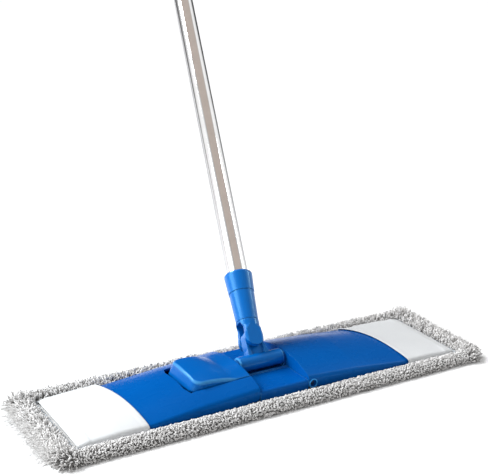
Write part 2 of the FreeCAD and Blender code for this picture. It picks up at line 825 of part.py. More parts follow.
def make_underplate(name, sign):
    body = new_body(name)
    sketch = new_sketch(body, name + "_plan", "XY_Plane", "frame_base")
    near = "%d * ( fold_x + 7 )" % sign
    middle = "%d * reach" % sign
    far = "%d * ( tip - 0.2 )" % sign
    polygon(sketch, [
        (near, "- frame_half + 0.2"),
        (middle, "- frame_half + 0.2"),
        (far, "- tip_half + 0.2"),
        (far, "tip_half - 0.2"),
        (middle, "frame_half - 0.2"),
        (near, "frame_half - 0.2"),
    ])
    pad(body, name + "_slab", sketch, "plate")
    for i, (x, y) in enumerate(wing_screw_points(sign)):
        cone = body.newObject("PartDesign::SubtractiveCone", "%s_sink_%d" % (name, i))
        sink_cone(cone, x, y)
    sub_part(body, name)


def make_hinge_pins():
    start_y = size("hinge_pin_inset") - size("frame_half")
    for name, sign in (("left_hinge_pin", LEFT), ("right_hinge_pin", RIGHT)):
        start = V(sign * size("fold_x"), start_y, size("fold_z"))
        pin = plain_rod(name + "_rod", "fold_pin", "2 * ( frame_half - hinge_pin_inset )", start, "y")
        sub_part(pin, name)


# ---------- foot pedal ----------

PEDAL_STATIONS = ("pedal_nose", "pedal_shoulder", "pedal_left", "pedal_middle", "pedal_crease", "pedal_right")


def make_pedal():
    body = new_body("pedal")
    outer = []
    inner = []
    for station in PEDAL_STATIONS:
        sketch = new_sketch(body, station + "_section", "YZ_Plane", "- " + station)
        outer.append(arch(sketch, station + "_half", station + "_crown", station + "_radius",
                          station + "_corner", "pedal_base"))
    inset = {"pedal_right": "+ pedal_shell"}
    for station in PEDAL_STATIONS[2:]:
        x = "- ( %s %s )" % (station, inset.get(station, "+ 0"))
        sketch = new_sketch(body, station + "_inner", "YZ_Plane", x)
        inner.append(arch(sketch, station + "_half - pedal_shell", station + "_crown - pedal_shell",
                          station + "_radius", station + "_corner", "pedal_base - 1"))
    loft(body, "pedal_outer", outer)
    loft(body, "pedal_inner", inner, cut=True)
    for y_sign in (-1, 1):
        y_low = "rib_inner" if y_sign > 0 else "- rib_outer"
        y_high = "rib_outer" if y_sign > 0 else "- rib_inner"
        box(body, "pivot_rib_%d" % (y_sign + 1),
            ("- pedal_pivot_x - rib_half", y_low, "pedal_pivot_z - rib_drop"),
            ("- pedal_pivot_x + rib_half", y_high, "pedal_crease_crown - rib_drop"))
    box(body, "spring_post", ("- post_left", "- post_half", "post_foot"),
        ("- post_right", "post_half", "pedal_left_crown - 1"))
    last = rod(body, "pivot_clearance", ("- pedal_pivot_x", "- pivot_clear_half", "pedal_pivot_z"), "y",
               "pedal_pin + running_gap", "2 * pivot_clear_half", cut=True)
    body.Tip = last
    sub_part(body, "foot_pedal")


def make_pedal_small_parts():
    pin_start = V(-size("pedal_pivot_x"), -size("pivot_pin_half"), size("pedal_pivot_z"))
    pin = plain_rod("pivot_pin_rod", "pedal_pin", "2 * pivot_pin_half", pin_start, "y")
    sub_part(pin, "pedal_pivot_pin")
    hook = new_body("hook")
    sketch = new_sketch(hook, "hook_side", "XZ_Plane")
    hook_top = "pedal_right_crown - pedal_shell - hook_play"
    polygon(sketch, [
        ("- hook_left", "hook_step"),
        ("- hook_leg_left", "hook_step"),
        ("- hook_leg_left", "hook_foot"),
        ("- hook_reach", "hook_foot"),
        ("- hook_leg_right", "hook_tooth"),
        ("- hook_leg_right", "hook_step + hook_thickness"),
        ("- hook_right", "hook_step + hook_thickness"),
        ("- hook_right", hook_top),
        ("- hook_left", hook_top),
    ])
    pad(hook, "hook_bar", sketch, "2 * hook_half", midplane=True)
    sub_part(hook, "latch_hook")
    spring = new_body("spring")
    sketch = new_sketch(spring, "spring_side", "XZ_Plane")
    foot = "frame_base + plate"
    polygon(sketch, [
        ("- spring_end", foot),
        ("- spring_bend", foot),
        ("- spring_crest", "spring_rest"),
        ("- spring_tip", "spring_rest"),
        ("- spring_tip", "spring_rest + spring_leaf"),
        ("- spring_crest + spring_leaf / 2", "spring_rest + spring_leaf"),
        ("- spring_bend + spring_leaf / 2", foot + " + spring_leaf"),
        ("- spring_end", foot + " + spring_leaf"),
    ])
    pad(spring, "spring_strip", sketch, "2 * spring_half", midplane=True)
    sub_part(spring, "pedal_spring")


# ---------- yoke and handle ----------

lean = FreeCAD.Rotation(X_AXIS, -size("lean_back"))
YOKE_PLACE = FreeCAD.Placement(V(0, 0, size("barrel_z")), lean)
side = FreeCAD.Placement(V(0, 0, size("pin_height")), FreeCAD.Rotation(Y_AXIS, size("lean_side")))
HANDLE_PLACE = YOKE_PLACE.multiply(side)


def make_yoke():
    body = new_body("yoke")
    sketch = new_sketch(body, "tongue_front", "XZ_Plane")
    polygon(sketch, [
        ("- tongue_foot", "0"),
        ("tongue_foot", "0"),
        ("tongue_foot", "tongue_flare_low"),
        ("tongue_waist", "tongue_flare_high"),
        ("tongue_head", "pin_height"),
        ("- tongue_head", "pin_height"),
        ("- tongue_waist", "tongue_flare_high"),
        ("- tongue_foot", "tongue_flare_low"),
    ])
    pad(body, "tongue_plate", sketch, "tongue", midplane=True)
    rod(body, "tongue_top", ("0", "- tongue / 2", "pin_height"), "y", "tongue_head", "tongue")
    for tag, low, high in (("front", "- tongue / 2", "- tongue / 2 + tongue_recess"),
                           ("back", "tongue / 2 - tongue_recess", "tongue / 2")):
        box(body, tag + "_recess", ("- recess_half", low, "recess_low"),
            ("recess_half", high, "recess_high"), cut=True)
    rod(body, "barrel", ("- barrel_half", "0", "0"), "x", "barrel_radius", "2 * barrel_half")
    rod(body, "barrel_bore", ("- barrel_half", "0", "0"), "x", "axle_radius + 0.4", "2 * barrel_half",
        cut=True)
    rod(body, "left_seat", ("- barrel_half", "0", "0"), "x", "bush_radius", "bush_length", cut=True)
    rod(body, "right_seat", ("barrel_half - bush_length", "0", "0"), "x", "bush_radius", "bush_length",
        cut=True)
    last = rod(body, "ear_bush_seat", ("0", "- tongue / 2", "pin_height"), "y", "ear_bush", "tongue",
               cut=True)
    body.Tip = last
    sub_part(body, "yoke", YOKE_PLACE)
    for name, sign in (("left_barrel_bush", LEFT), ("right_barrel_bush", RIGHT)):
        bush = new_body(name)
        start = "- barrel_half" if sign < 0 else "barrel_half - bush_length"
        rod(bush, name + "_sleeve", (start, "0", "0"), "x", "bush_radius", "bush_length")
        rim = "- barrel_half - bush_flange_width" if sign < 0 else "barrel_half"
        rod(bush, name + "_flange", (rim, "0", "0"), "x", "bush_flange", "bush_flange_width")
        rod(bush, name + "_bore", ("- axle_half", "0", "0"), "x", "axle_radius + running_gap",
            "2 * axle_half", cut=True)
        sub_part(bush, name, YOKE_PLACE)
    bush = new_body("ear_bush")
    rod(bush, "ear_bush_sleeve", ("0", "- tongue / 2", "pin_height"), "y", "ear_bush", "tongue")
    rod(bush, "ear_bush_bore", ("0", "- tongue / 2", "pin_height"), "y", "ear_pin + running_gap",
        "tongue", cut=True)
    sub_part(bush, "tongue_bush", YOKE_PLACE)


def make_socket():
    body = new_body("socket")
    sketch = new_sketch(body, "ear_front", "XZ_Plane")
    polygon(sketch, [
        ("- ear_neck", "0"),
        ("ear_neck", "0"),
        ("ear_neck", "ear_neck_top"),
        ("ear_turn", "socket_foot"),
        ("- ear_turn", "socket_foot"),
        ("- ear_neck", "ear_neck_top"),
    ])
    pad(body, "ear_plates", sketch, "2 * ear_face", midplane=True)
    rod(body, "ear_disc", ("0", "- ear_face", "0"), "y", "ear_radius", "2 * ear_face")
    sketch = new_sketch(body, "ear_turning", "XZ_Plane")
    polygon(sketch, [
        ("ear_edge", "- ear_radius - 2"), ("ear_edge + 12", "- ear_radius - 2"),
        ("ear_edge + 12", "socket_foot"), ("ear_turn", "socket_foot"),
        ("ear_turn", "ear_flare_high"), ("ear_edge", "ear_flare_low"),
    ])
    turned(body, "ear_round", sketch, cut=True)
    sketch = new_sketch(body, "socket_profile", "XZ_Plane")
    polygon(sketch, [
        ("0", "socket_foot - 0.6"),
        ("ear_turn - 0.8", "socket_foot - 0.6"),
        ("ear_turn - 0.8", "socket_step"),
        ("socket_low", "socket_step"),
        ("socket_high", "socket_top"),
        ("tube_radius", "socket_top"),
        ("tube_radius", "tube_foot - 0.2"),
        ("socket_bore", "tube_foot - 0.2"),
        ("socket_bore", "socket_floor"),
        ("0", "socket_floor"),
    ])
    turned(body, "socket_taper", sketch)
    box(body, "ear_slot", ("- ear_edge - 1", "- ear_gap / 2", "- ear_radius - 2"),
        ("ear_edge + 1", "ear_gap / 2", "ear_slot_top"), cut=True)
    rod(body, "ear_pin_bore", ("0", "- ear_pin_start", "0"), "y", "ear_pin", "2 * ear_face", cut=True)
    last = rod(body, "ear_cap_seat", ("0", "ear_face - ear_cap_depth", "0"), "y", "ear_cap", "6", cut=True)
    body.Tip = last
    sub_part(body, "fork_socket", HANDLE_PLACE)
    pin_place = HANDLE_PLACE.multiply(FreeCAD.Placement(V(0, -size("ear_pin_start"), 0), TURNS["y"]))
    pin = plain_rod("ear_pin_rod", "ear_pin", "ear_pin_start + ear_face - ear_cap_depth", V())
    sub_part(pin, "ear_pin", pin_place)
    seat = size("ear_face") - size("ear_cap_depth")
    cap_place = HANDLE_PLACE.multiply(FreeCAD.Placement(V(0, seat, 0), TURNS["y"]))
    cap = plain_rod("ear_cap_disc", "ear_cap", "ear_cap_depth", V())
    sub_part(cap, "ear_pin_cap", cap_place)


def make_collar():
    body = new_body("collar")
    sketch = new_sketch(body, "collar_profile", "XZ_Plane")
    polygon(sketch, [
        ("collet_radius", "collar_foot"),
        ("collar_low", "collar_foot"),
        ("collar_high", "collar_top - 2.2"),
        ("collar_high - 0.3", "collar_top - 0.9"),
        ("collar_high - 1.1", "collar_top"),
        ("collet_radius", "collar_top"),
    ])
    turned(body, "collar_ring", sketch)
    sub_part(body, "clamp_collar", HANDLE_PLACE)
    collet = new_body("collet")
    sketch = new_sketch(collet, "collet_profile", "XZ_Plane")
    polygon(sketch, [
        ("tube_radius", "socket_top"),
        ("collar_low - 0.8", "socket_top"),
        ("collar_low - 0.8", "collar_foot"),
        ("collet_radius", "collar_foot"),
        ("collet_radius", "collar_top - collet_top_gap"),
        ("tube_radius", "collar_top - collet_top_gap"),
    ])
    turned(collet, "collet_ring", sketch)
    narrow = "collet_slot_half"
    wide = "collet_radius + 1"
    for tag, x, y in (("along_x", wide, narrow), ("along_y", narrow, wide)):
        box(collet, "collet_slot_" + tag, ("- ( %s )" % x, "- ( %s )" % y, "collet_slot_foot"),
            (x, y, "collar_top"), cut=True)
    sub_part(collet, "collet", HANDLE_PLACE)


GRIP_GROOVES = 9


def make_tube():
    start = V(0, 0, size("tube_foot"))
    outside = plain_rod("tube_outside", "tube_radius", "tube_top - tube_foot", start)
    inside = plain_rod("tube_inside", "tube_radius - tube_wall", "tube_top - tube_foot", start)
    tube = boolean("Cut", "tube", outside, inside)
    sub_part(tube, "handle_tube", HANDLE_PLACE)
    place = HANDLE_PLACE.multiply(FreeCAD.Placement(V(0, 0, size("tube_foot") + 1), FreeCAD.Rotation()))
    plug = plain_rod("plug", "tube_radius - tube_wall", "plug_length", V())
    sub_part(plug, "tube_foot_plug", place)
    body = new_body("grip")
    sketch = new_sketch(body, "grip_profile", "XZ_Plane")
    polygon(sketch, [
        ("tube_radius", "grip_foot"), ("grip_radius - 1.6", "grip_foot"), ("grip_radius", "grip_foot + 6"),
        ("grip_radius - 0.9", "grip_foot + 60"), ("grip_radius", "tube_top - cap_skirt"),
        ("tube_radius", "tube_top - cap_skirt"),
    ])
    last = turned(body, "grip_body", sketch)
    for ring in range(GRIP_GROOVES):
        sketch = new_sketch(body, "grip_ring_%d" % ring, "XZ_Plane")
        low = "grip_foot + first_groove + %d * groove_pitch" % ring
        high = low + " + groove_floor"
        polygon(sketch, [
            ("grip_radius - groove_depth", low),
            ("grip_radius + 1", low + " - groove_flare"),
            ("grip_radius + 1", high + " + groove_flare"),
            ("grip_radius - groove_depth", high),
        ])
        last = turned(body, "grip_groove_%d" % ring, sketch, cut=True)
    body.Tip = last
    sub_part(body, "grip_sleeve", HANDLE_PLACE)
    body = new_body("cap")
    sketch = new_sketch(body, "cap_profile", "XZ_Plane")
    polygon(sketch, [
        ("0", "tube_top"),
        ("tube_radius", "tube_top"),
        ("tube_radius", "tube_top - cap_skirt"),
        ("cap_radius", "tube_top - cap_skirt"),
        ("cap_radius", "tube_top + cap_skirt"),
        ("cap_radius - 3", "tube_top + cap_dome - 2"),
        ("0", "tube_top + cap_dome"),
    ])
    turned(body, "cap_dome", sketch)
    sketch = new_sketch(body, "eye_plan", "XZ_Plane")
    polygon(sketch, [
        ("- eye_half", "tube_top + 3"), ("eye_half", "tube_top + 3"), ("eye_half", "eye_height"),
        ("- eye_half", "eye_height"),
    ])
    pad(body, "eye_plate", sketch, "eye_thickness", midplane=True)
    rod(body, "eye_top", ("0", "- eye_thickness / 2", "eye_height"), "y", "eye_half", "eye_thickness")
    last = rod(body, "hanging_hole", ("0", "- eye_thickness", "eye_height"), "y", "eye_radius",
               "2 * eye_thickness", cut=True)
    body.Tip = last
    sub_part(body, "hanging_cap", HANDLE_PLACE)


make_sole()
make_fringes()
make_hem()
make_pocket("left_pocket", LEFT)
make_pocket("right_pocket", RIGHT)
make_centre_block()
make_centre_small_parts()
for wing, plate_name, wing_screws, wing_sign in (
        ("left_wing", "left_underplate", "left_wing_screws", LEFT),
        ("right_wing", "right_underplate", "right_wing_screws", RIGHT)):
    make_wing(wing, wing_sign)
    make_underplate(plate_name, wing_sign)
    screws(wing_screws, wing_screw_points(wing_sign))
make_hinge_pins()
make_pedal()
make_pedal_small_parts()
make_yoke()
make_socket()
make_collar()
make_tube()

doc.recompute()

# ---------- checks and export ----------

for obj in doc.Objects:
    if "Invalid" in obj.State or "Error" in obj.State:
        raise RuntimeError("%s (%s): %s" % (obj.Name, obj.Label, obj.State))
for part in SUBPARTS:
    if part.Shape.isNull() or not part.Shape.isValid() or part.Shape.Volume <= 0:
        raise RuntimeError("bad shape: " + part.Label)

os.makedirs("parts", exist_ok=True)
for part in SUBPARTS:
    part.Shape.exportStep("parts/%s.step" % part.Label)
    box_size = part.Shape.BoundBox
    print("%-20s solids %d volume %9.1f mm3  box %.1f x %.1f x %.1f" % (
        part.Label, len(part.Shape.Solids), part.Shape.Volume,
        box_size.XLength, box_size.YLength, box_size.ZLength))
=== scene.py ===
import json
import math

import bpy
import numpy as np
from mathutils import Matrix, Vector


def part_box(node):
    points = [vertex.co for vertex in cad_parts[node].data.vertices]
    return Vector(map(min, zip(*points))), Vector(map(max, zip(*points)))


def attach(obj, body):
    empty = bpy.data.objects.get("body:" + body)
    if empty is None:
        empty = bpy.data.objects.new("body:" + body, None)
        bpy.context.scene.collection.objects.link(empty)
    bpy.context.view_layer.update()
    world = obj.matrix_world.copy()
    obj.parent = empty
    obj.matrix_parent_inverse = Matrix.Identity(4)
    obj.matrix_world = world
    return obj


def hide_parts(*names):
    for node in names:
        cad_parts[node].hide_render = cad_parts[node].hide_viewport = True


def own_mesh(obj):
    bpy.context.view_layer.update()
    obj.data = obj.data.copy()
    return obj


# Flat mop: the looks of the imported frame, in metres and the frame's axes.

MM = 0.001
SEED = 11

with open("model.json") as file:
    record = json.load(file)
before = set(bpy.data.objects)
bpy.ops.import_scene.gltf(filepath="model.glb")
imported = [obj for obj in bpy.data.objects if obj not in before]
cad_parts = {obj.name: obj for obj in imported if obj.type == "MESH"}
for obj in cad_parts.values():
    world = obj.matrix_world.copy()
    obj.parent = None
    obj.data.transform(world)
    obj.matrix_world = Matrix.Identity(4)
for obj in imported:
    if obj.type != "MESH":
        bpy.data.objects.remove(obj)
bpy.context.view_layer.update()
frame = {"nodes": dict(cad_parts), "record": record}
nodes = frame["nodes"]
slot_of = {part["node"]: part["material_slot"] for part in frame["record"]["subparts"]}


# ---------- material helpers ----------

# Where a noise texture's values mostly lie.
NOISE_LOW, NOISE_HIGH = 0.3, 0.7
# How far two normals' dot product falls from a moulded edge's start to its middle, where the painted edge
# highlight is full.
EDGE_STARTS, EDGE_FULL = 0.995, 0.86
BEVEL_SAMPLES = 4


def new_material(name, rough, metal=0.0):
    """A Principled material; constants go straight on its sockets."""
    material = bpy.data.materials.new(name)
    material.use_nodes = True
    shader = material.node_tree.nodes["Principled BSDF"]
    shader.inputs["Roughness"].default_value = rough
    shader.inputs["Metallic"].default_value = metal
    return material, shader


def add_node(material, kind, **settings):
    node = material.node_tree.nodes.new(kind)
    for key, value in settings.items():
        setattr(node, key, value)
    return node


def link(material, output, target):
    material.node_tree.links.new(output, target)


def object_coordinates(material, scale=(1, 1, 1)):
    coordinates = add_node(material, "ShaderNodeTexCoord")
    mapping = add_node(material, "ShaderNodeMapping")
    mapping.inputs["Scale"].default_value = scale
    link(material, coordinates.outputs["Object"], mapping.inputs["Vector"])
    return mapping.outputs["Vector"]


def noise(material, vector, scale, detail=3.0, rough=0.55):
    texture = add_node(material, "ShaderNodeTexNoise")
    texture.inputs["Scale"].default_value = scale
    texture.inputs["Detail"].default_value = detail
    texture.inputs["Roughness"].default_value = rough
    link(material, vector, texture.inputs["Vector"])
    return texture.outputs["Fac"]


def ramp(material, value, stops):
    """A colour ramp whose stops are pairs of place and colour."""
    node = add_node(material, "ShaderNodeValToRGB")
    elements = node.color_ramp.elements
    while len(elements) < len(stops):
        elements.new(0.5)
    for element, (place, colour) in zip(elements, stops):
        element.position = place
        element.color = (*colour, 1)
    link(material, value, node.inputs["Fac"])
    return node.outputs["Color"]


def two_tone(material, value, dark, light):
    """A colour between dark and light over a noise's usual range."""
    return ramp(material, value, [(NOISE_LOW, dark), (NOISE_HIGH, light)])


def map_range(owner, value, source, target):
    """A value carried from one range to another; owner is a material or a world."""
    node = add_node(owner, "ShaderNodeMapRange")
    node.inputs["From Min"].default_value, node.inputs["From Max"].default_value = source
    node.inputs["To Min"].default_value, node.inputs["To Max"].default_value = target
    link(owner, value, node.inputs["Value"])
    return node.outputs["Result"]


def spread(material, value, low, high):
    """A texture value stretched to a range."""
    return map_range(material, value, (NOISE_LOW, NOISE_HIGH), (low, high))


def rounded_normal(material, radius):
    """The surface's direction as if its edges were rounded."""
    node = add_node(material, "ShaderNodeBevel", samples=BEVEL_SAMPLES)
    node.inputs["Radius"].default_value = radius
    return node.outputs["Normal"]


def bump(material, shader, height, strength, distance, edge_radius=0.0):
    node = add_node(material, "ShaderNodeBump")
    node.inputs["Strength"].default_value = strength
    node.inputs["Distance"].default_value = distance
    link(material, height, node.inputs["Height"])
    if edge_radius:
        link(material, rounded_normal(material, edge_radius), node.inputs["Normal"])
    link(material, node.outputs["Normal"], shader.inputs["Normal"])


def edge_highlight_mask(material, radius):
    """Where the painted edge highlight goes: up to 1 along a moulded edge, 0 on an open face."""
    face = add_node(material, "ShaderNodeNewGeometry")
    agree = add_node(material, "ShaderNodeVectorMath", operation="DOT_PRODUCT")
    link(material, rounded_normal(material, radius), agree.inputs[0])
    link(material, face.outputs["Normal"], agree.inputs[1])
    return map_range(material, agree.outputs["Value"], (EDGE_STARTS, EDGE_FULL), (0.0, 1.0))


def painted_shading_value(material):
    """The painted shading stored on the mesh's points: painted shade by depth in a pile, or painted
    highlight by nearness to a lip.
    """
    return add_node(material, "ShaderNodeAttribute", attribute_name="painted_shading").outputs["Fac"]


def paint_highlight(material, mask, highlight_colour, share):
    """Painted highlight: mix a pale colour into the plastic where the mask is high."""
    base_colour = material.node_tree.nodes["Principled BSDF"].inputs["Base Color"]
    amount = add_node(material, "ShaderNodeMath", operation="MULTIPLY")
    amount.inputs[1].default_value = share
    link(material, mask, amount.inputs[0])
    blend = add_node(material, "ShaderNodeMix", data_type="RGBA")
    plain_colour, pale_colour = [socket for socket in blend.inputs if socket.type == "RGBA"]
    result = next(socket for socket in blend.outputs if socket.type == "RGBA")
    pale_colour.default_value = (*highlight_colour, 1)
    link(material, amount.outputs["Value"], blend.inputs[0])
    link(material, base_colour.links[0].from_socket, plain_colour)
    link(material, result, base_colour)


# ---------- materials ----------

# Texture scales, roughly in features per metre.
FLOW_SCALE = 14.0
SMEAR_SCALE = 40.0
SKIN_SCALE = 1600.0
HAZE_SCALE = 60.0
DRAW_LINE_SCALE = 2500.0
STRAND_SCALE = 420.0
PATCH_SCALE = 70.0
FUZZ_SCALE = 3500.0
CLOTH_CLOUD_SCALE = 30.0
FLOOR_CLOUD_SCALE = 2.0
# Stretch along the moulding's length, and along a drawn tube.
FLOW_STRETCH = (1.0, 1.6, 1.6)
SMEAR_STRETCH = (1.0, 1.5, 1.5)
DRAW_STRETCH = (1.0, 1.0, 0.2)
# The wave texture's period, in metres, at a scale of 1.
WAVE_PERIOD = 0.314
EDGE_ROUND = 0.7 * MM
WORN_SHARE = 0.93
# How much painted shade by depth, tone by strand and tone by patch each add to a pile's value.
PAINTED_SHADE_SHARE = 0.45
STRAND_SHARE = 0.5
PATCH_SHARE = 0.08
# The shades at which a pile has its middle and its light colour.
MIDDLE_SHADE, LIGHT_SHADE = 0.38, 0.85
CYAN_TINT = (0.35, 0.85, 1.0)
NO_TINT = (1.0, 1.0, 1.0)
# The pale blue of the painted highlights along edges and over the pedal's lip.
PAINTED_HIGHLIGHT_BLUE = (0.16, 0.56, 0.86)


def moulded_plastic(name, deep, light, rough, shine=0.5, tint=CYAN_TINT):
    """Glossy injection-moulded plastic: faint flow marks, fine skin and softened edges."""
    material, shader = new_material(name, rough[1])
    flow = noise(material, object_coordinates(material, FLOW_STRETCH), FLOW_SCALE, 2.0)
    link(material, two_tone(material, flow, deep, light), shader.inputs["Base Color"])
    smear = noise(material, object_coordinates(material, SMEAR_STRETCH), SMEAR_SCALE, 2.0)
    link(material, spread(material, smear, *rough), shader.inputs["Roughness"])
    skin = noise(material, object_coordinates(material), SKIN_SCALE, 2.0)
    bump(material, shader, skin, 0.03, 0.03 * MM, edge_radius=EDGE_ROUND)
    shader.inputs["Specular Tint"].default_value = (*tint, 1)
    shader.inputs["Specular IOR Level"].default_value = shine
    return material


def polished_metal(name, colour, edge, rough):
    """Drawn metal: fine lines across the light and a darker rim."""
    material, shader = new_material(name, rough[0], metal=1.0)
    haze = noise(material, object_coordinates(material), HAZE_SCALE, 4.0)
    link(material, spread(material, haze, *rough), shader.inputs["Roughness"])
    worn = tuple(WORN_SHARE * c for c in colour)
    link(material, two_tone(material, haze, worn, colour), shader.inputs["Base Color"])
    lines = noise(material, object_coordinates(material, DRAW_STRETCH), DRAW_LINE_SCALE, 2.0)
    bump(material, shader, lines, 0.02, 0.02 * MM)
    shader.inputs["Specular Tint"].default_value = (*edge, 1)
    return material


def pile_fabric(name, dark, mid, light, sheen):
    """Microfibre pile: tone that varies by strand, and painted shade, darker towards the roots."""
    material, shader = new_material(name, 0.9)
    vector = object_coordinates(material)
    strand = noise(material, vector, STRAND_SCALE, 2.0, 0.7)
    patch = noise(material, vector, PATCH_SCALE, 3.0)
    mixed = add_node(material, "ShaderNodeMath", operation="MULTIPLY_ADD")
    mixed.inputs[1].default_value = PAINTED_SHADE_SHARE
    link(material, painted_shading_value(material), mixed.inputs[0])
    link(material, spread(material, strand, 0.0, STRAND_SHARE), mixed.inputs[2])
    total = add_node(material, "ShaderNodeMath", operation="ADD")
    link(material, mixed.outputs["Value"], total.inputs[0])
    link(material, spread(material, patch, -PATCH_SHARE, PATCH_SHARE), total.inputs[1])
    stops = [(0.0, dark), (MIDDLE_SHADE, mid), (LIGHT_SHADE, light)]
    link(material, ramp(material, total.outputs["Value"], stops), shader.inputs["Base Color"])
    bump(material, shader, noise(material, vector, FUZZ_SCALE, 2.0), 0.4, 0.2 * MM)
    shader.inputs["Sheen Weight"].default_value = sheen
    shader.inputs["Sheen Roughness"].default_value = 0.6
    return material


def woven_cloth(name, dark, light, thread, rough, sheen):
    """A fine plain weave with a faint unevenness."""
    material, shader = new_material(name, rough)
    vector = object_coordinates(material)
    warp = add_node(material, "ShaderNodeTexWave", bands_direction="X")
    weft = add_node(material, "ShaderNodeTexWave", bands_direction="Y")
    for wave in (warp, weft):
        wave.inputs["Scale"].default_value = WAVE_PERIOD / thread
        wave.inputs["Distortion"].default_value = 0.4
        wave.inputs["Detail"].default_value = 1.0
        link(material, vector, wave.inputs["Vector"])
    weave = add_node(material, "ShaderNodeMath", operation="MULTIPLY")
    link(material, warp.outputs["Fac"], weave.inputs[0])
    link(material, weft.outputs["Fac"], weave.inputs[1])
    uneven = noise(material, vector, CLOTH_CLOUD_SCALE, 4.0)
    link(material, two_tone(material, uneven, dark, light), shader.inputs["Base Color"])
    bump(material, shader, weave.outputs["Value"], 0.25, 0.08 * MM)
    shader.inputs["Sheen Weight"].default_value = sheen
    shader.inputs["Sheen Roughness"].default_value = 0.4
    return material


BLUE = moulded_plastic("blue_plastic", (0.0, 0.08, 0.335), (0.0, 0.088, 0.36), (0.26, 0.29), 0.13)
BLUE_BLOCK = moulded_plastic("blue_block_painted_edge_highlight", (0.0, 0.076, 0.33), (0.0, 0.083, 0.355), (0.26, 0.29), 0.18)
BLUE_PEDAL = moulded_plastic("blue_pedal_painted_lip_highlight", (0.0, 0.095, 0.38), (0.0, 0.103, 0.41), (0.24, 0.27), 0.24)
BLUE_JOINT = moulded_plastic("blue_joint_painted_edge_highlight", (0.0, 0.11, 0.43), (0.0, 0.122, 0.46), (0.2, 0.24), 0.7)
# Painted highlights: pale blue mixed in along the block's and the joint's edges and over the pedal's lip.
for plastic, mask, share in (
        (BLUE_BLOCK, edge_highlight_mask(BLUE_BLOCK, 1.5 * MM), 0.3),
        (BLUE_PEDAL, painted_shading_value(BLUE_PEDAL), 0.3),
        (BLUE_JOINT, edge_highlight_mask(BLUE_JOINT, 0.9 * MM), 0.2)):
    paint_highlight(plastic, mask, PAINTED_HIGHLIGHT_BLUE, share)
PLATE = moulded_plastic("blue_plate", (0.0, 0.07, 0.28), (0.0, 0.085, 0.32), (0.35, 0.5), 0.3)
# The bushes are the mop's blue made lighter: a painted highlight for the pale arcs at the barrel's ends.
BUSH_PAINTED_HIGHLIGHT = moulded_plastic("bush_plastic", (0.06, 0.34, 0.72), (0.08, 0.38, 0.76), (0.25, 0.3))
# The hinge rim's pale blue is a painted highlight on its rounded edge.
RIM_PAINTED_HIGHLIGHT = moulded_plastic("rim_painted_highlight", (0.02, 0.22, 0.6), (0.03, 0.25, 0.64), (0.25, 0.3))
RUBBER = moulded_plastic(
    "grip_rubber", (0.035, 0.04, 0.05), (0.05, 0.055, 0.065), (0.55, 0.7), tint=NO_TINT)
TUBE = polished_metal("tube_aluminium", (0.93, 0.93, 0.93), (0.42, 0.43, 0.45), (0.05, 0.09))
STEEL = polished_metal("steel", (0.62, 0.62, 0.62), (0.7, 0.7, 0.7), (0.22, 0.34))
# The hinge pins' steel is painted a dark blue-black, a painted shade for the holes they sit in.
DARK_STEEL = polished_metal("steel_painted_dark", (0.03, 0.06, 0.14), (0.1, 0.14, 0.22), (0.3, 0.42))
PILE = pile_fabric(
    "microfibre_fringe", (0.11, 0.103, 0.097), (0.54, 0.527, 0.517), (0.85, 0.842, 0.84), 0.2)
SOLE = pile_fabric("microfibre_sole", (0.16, 0.155, 0.15), (0.55, 0.54, 0.53), (0.85, 0.85, 0.84), 0.35)
CLOTH = woven_cloth("pocket_satin", (0.645, 0.66, 0.675), (0.675, 0.69, 0.7), 0.45 * MM, 0.5, 0.1)
TAPE = woven_cloth("hem_tape", (0.4, 0.445, 0.49), (0.49, 0.535, 0.58), 0.8 * MM, 0.75, 0.2)
THREAD = woven_cloth("thread", (0.7, 0.71, 0.73), (0.8, 0.81, 0.83), 0.3 * MM, 0.6, 0.3)

BY_SLOT = {
    "blue_plastic": BLUE,
    "blue_plate": PLATE,
    "bush_plastic": BUSH_PAINTED_HIGHLIGHT,
    "grip_plastic": RUBBER,
    "tube_metal": TUBE,
    "steel": STEEL,
    "sole_microfibre": SOLE,
    "fringe_microfibre": PILE,
    "pocket_cloth": CLOTH,
    "hem": TAPE,
}
BY_NODE = {
    "centre_block": BLUE_BLOCK,
    "foot_pedal": BLUE_PEDAL,
    "yoke": BLUE_JOINT,
    "fork_socket": BLUE_JOINT,
    "clamp_collar": BLUE_JOINT,
    "ear_pin_cap": BLUE_JOINT,
    "hanging_cap": BLUE_JOINT,
    "left_hinge_pin": DARK_STEEL,
    "right_hinge_pin": DARK_STEEL,
}
for name, node in nodes.items():
    node.data.materials.clear()
    node.data.materials.append(BY_NODE.get(name, BY_SLOT[slot_of[name]]))


# ---------- mesh helpers ----------

def new_piece(name, points, faces, material, slot, body, painted_shading=None):
    """A smooth mesh with its material and body, and a shade value on each point if given; the slot is not
    used.
    """
    mesh = bpy.data.meshes.new(name)
    mesh.from_pydata(points.tolist(), [], faces.tolist())
    mesh.polygons.foreach_set("use_smooth", np.ones(len(mesh.polygons), dtype=bool))
    mesh.materials.append(material)
    if painted_shading is not None:
        attribute = mesh.attributes.new("painted_shading", "FLOAT", "POINT")
        attribute.data.foreach_set("value", painted_shading.astype(np.float32))
    mesh.update()
    piece = bpy.data.objects.new(name, mesh)
    bpy.context.scene.collection.objects.link(piece)
    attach(piece, body)
    return piece


def unit(vectors):
    return vectors / np.linalg.norm(vectors, axis=-1, keepdims=True)


def grid_faces(rows, columns, wrap=False):
    """Quads of a grid of points, row by row; wrap joins the last column to the first."""
    i = np.arange(rows - 1)[:, None]
    j = np.arange(columns if wrap else columns - 1)[None, :]
    following = (j + 1) % columns
    this_row, next_row = i * columns, (i + 1) * columns
    corners = (this_row + j, this_row + following, next_row + following, next_row + j)
    same_shape = [np.broadcast_to(corner, (rows - 1, j.shape[1])) for corner in corners]
    return np.stack(same_shape, axis=-1).reshape(-1, 4)


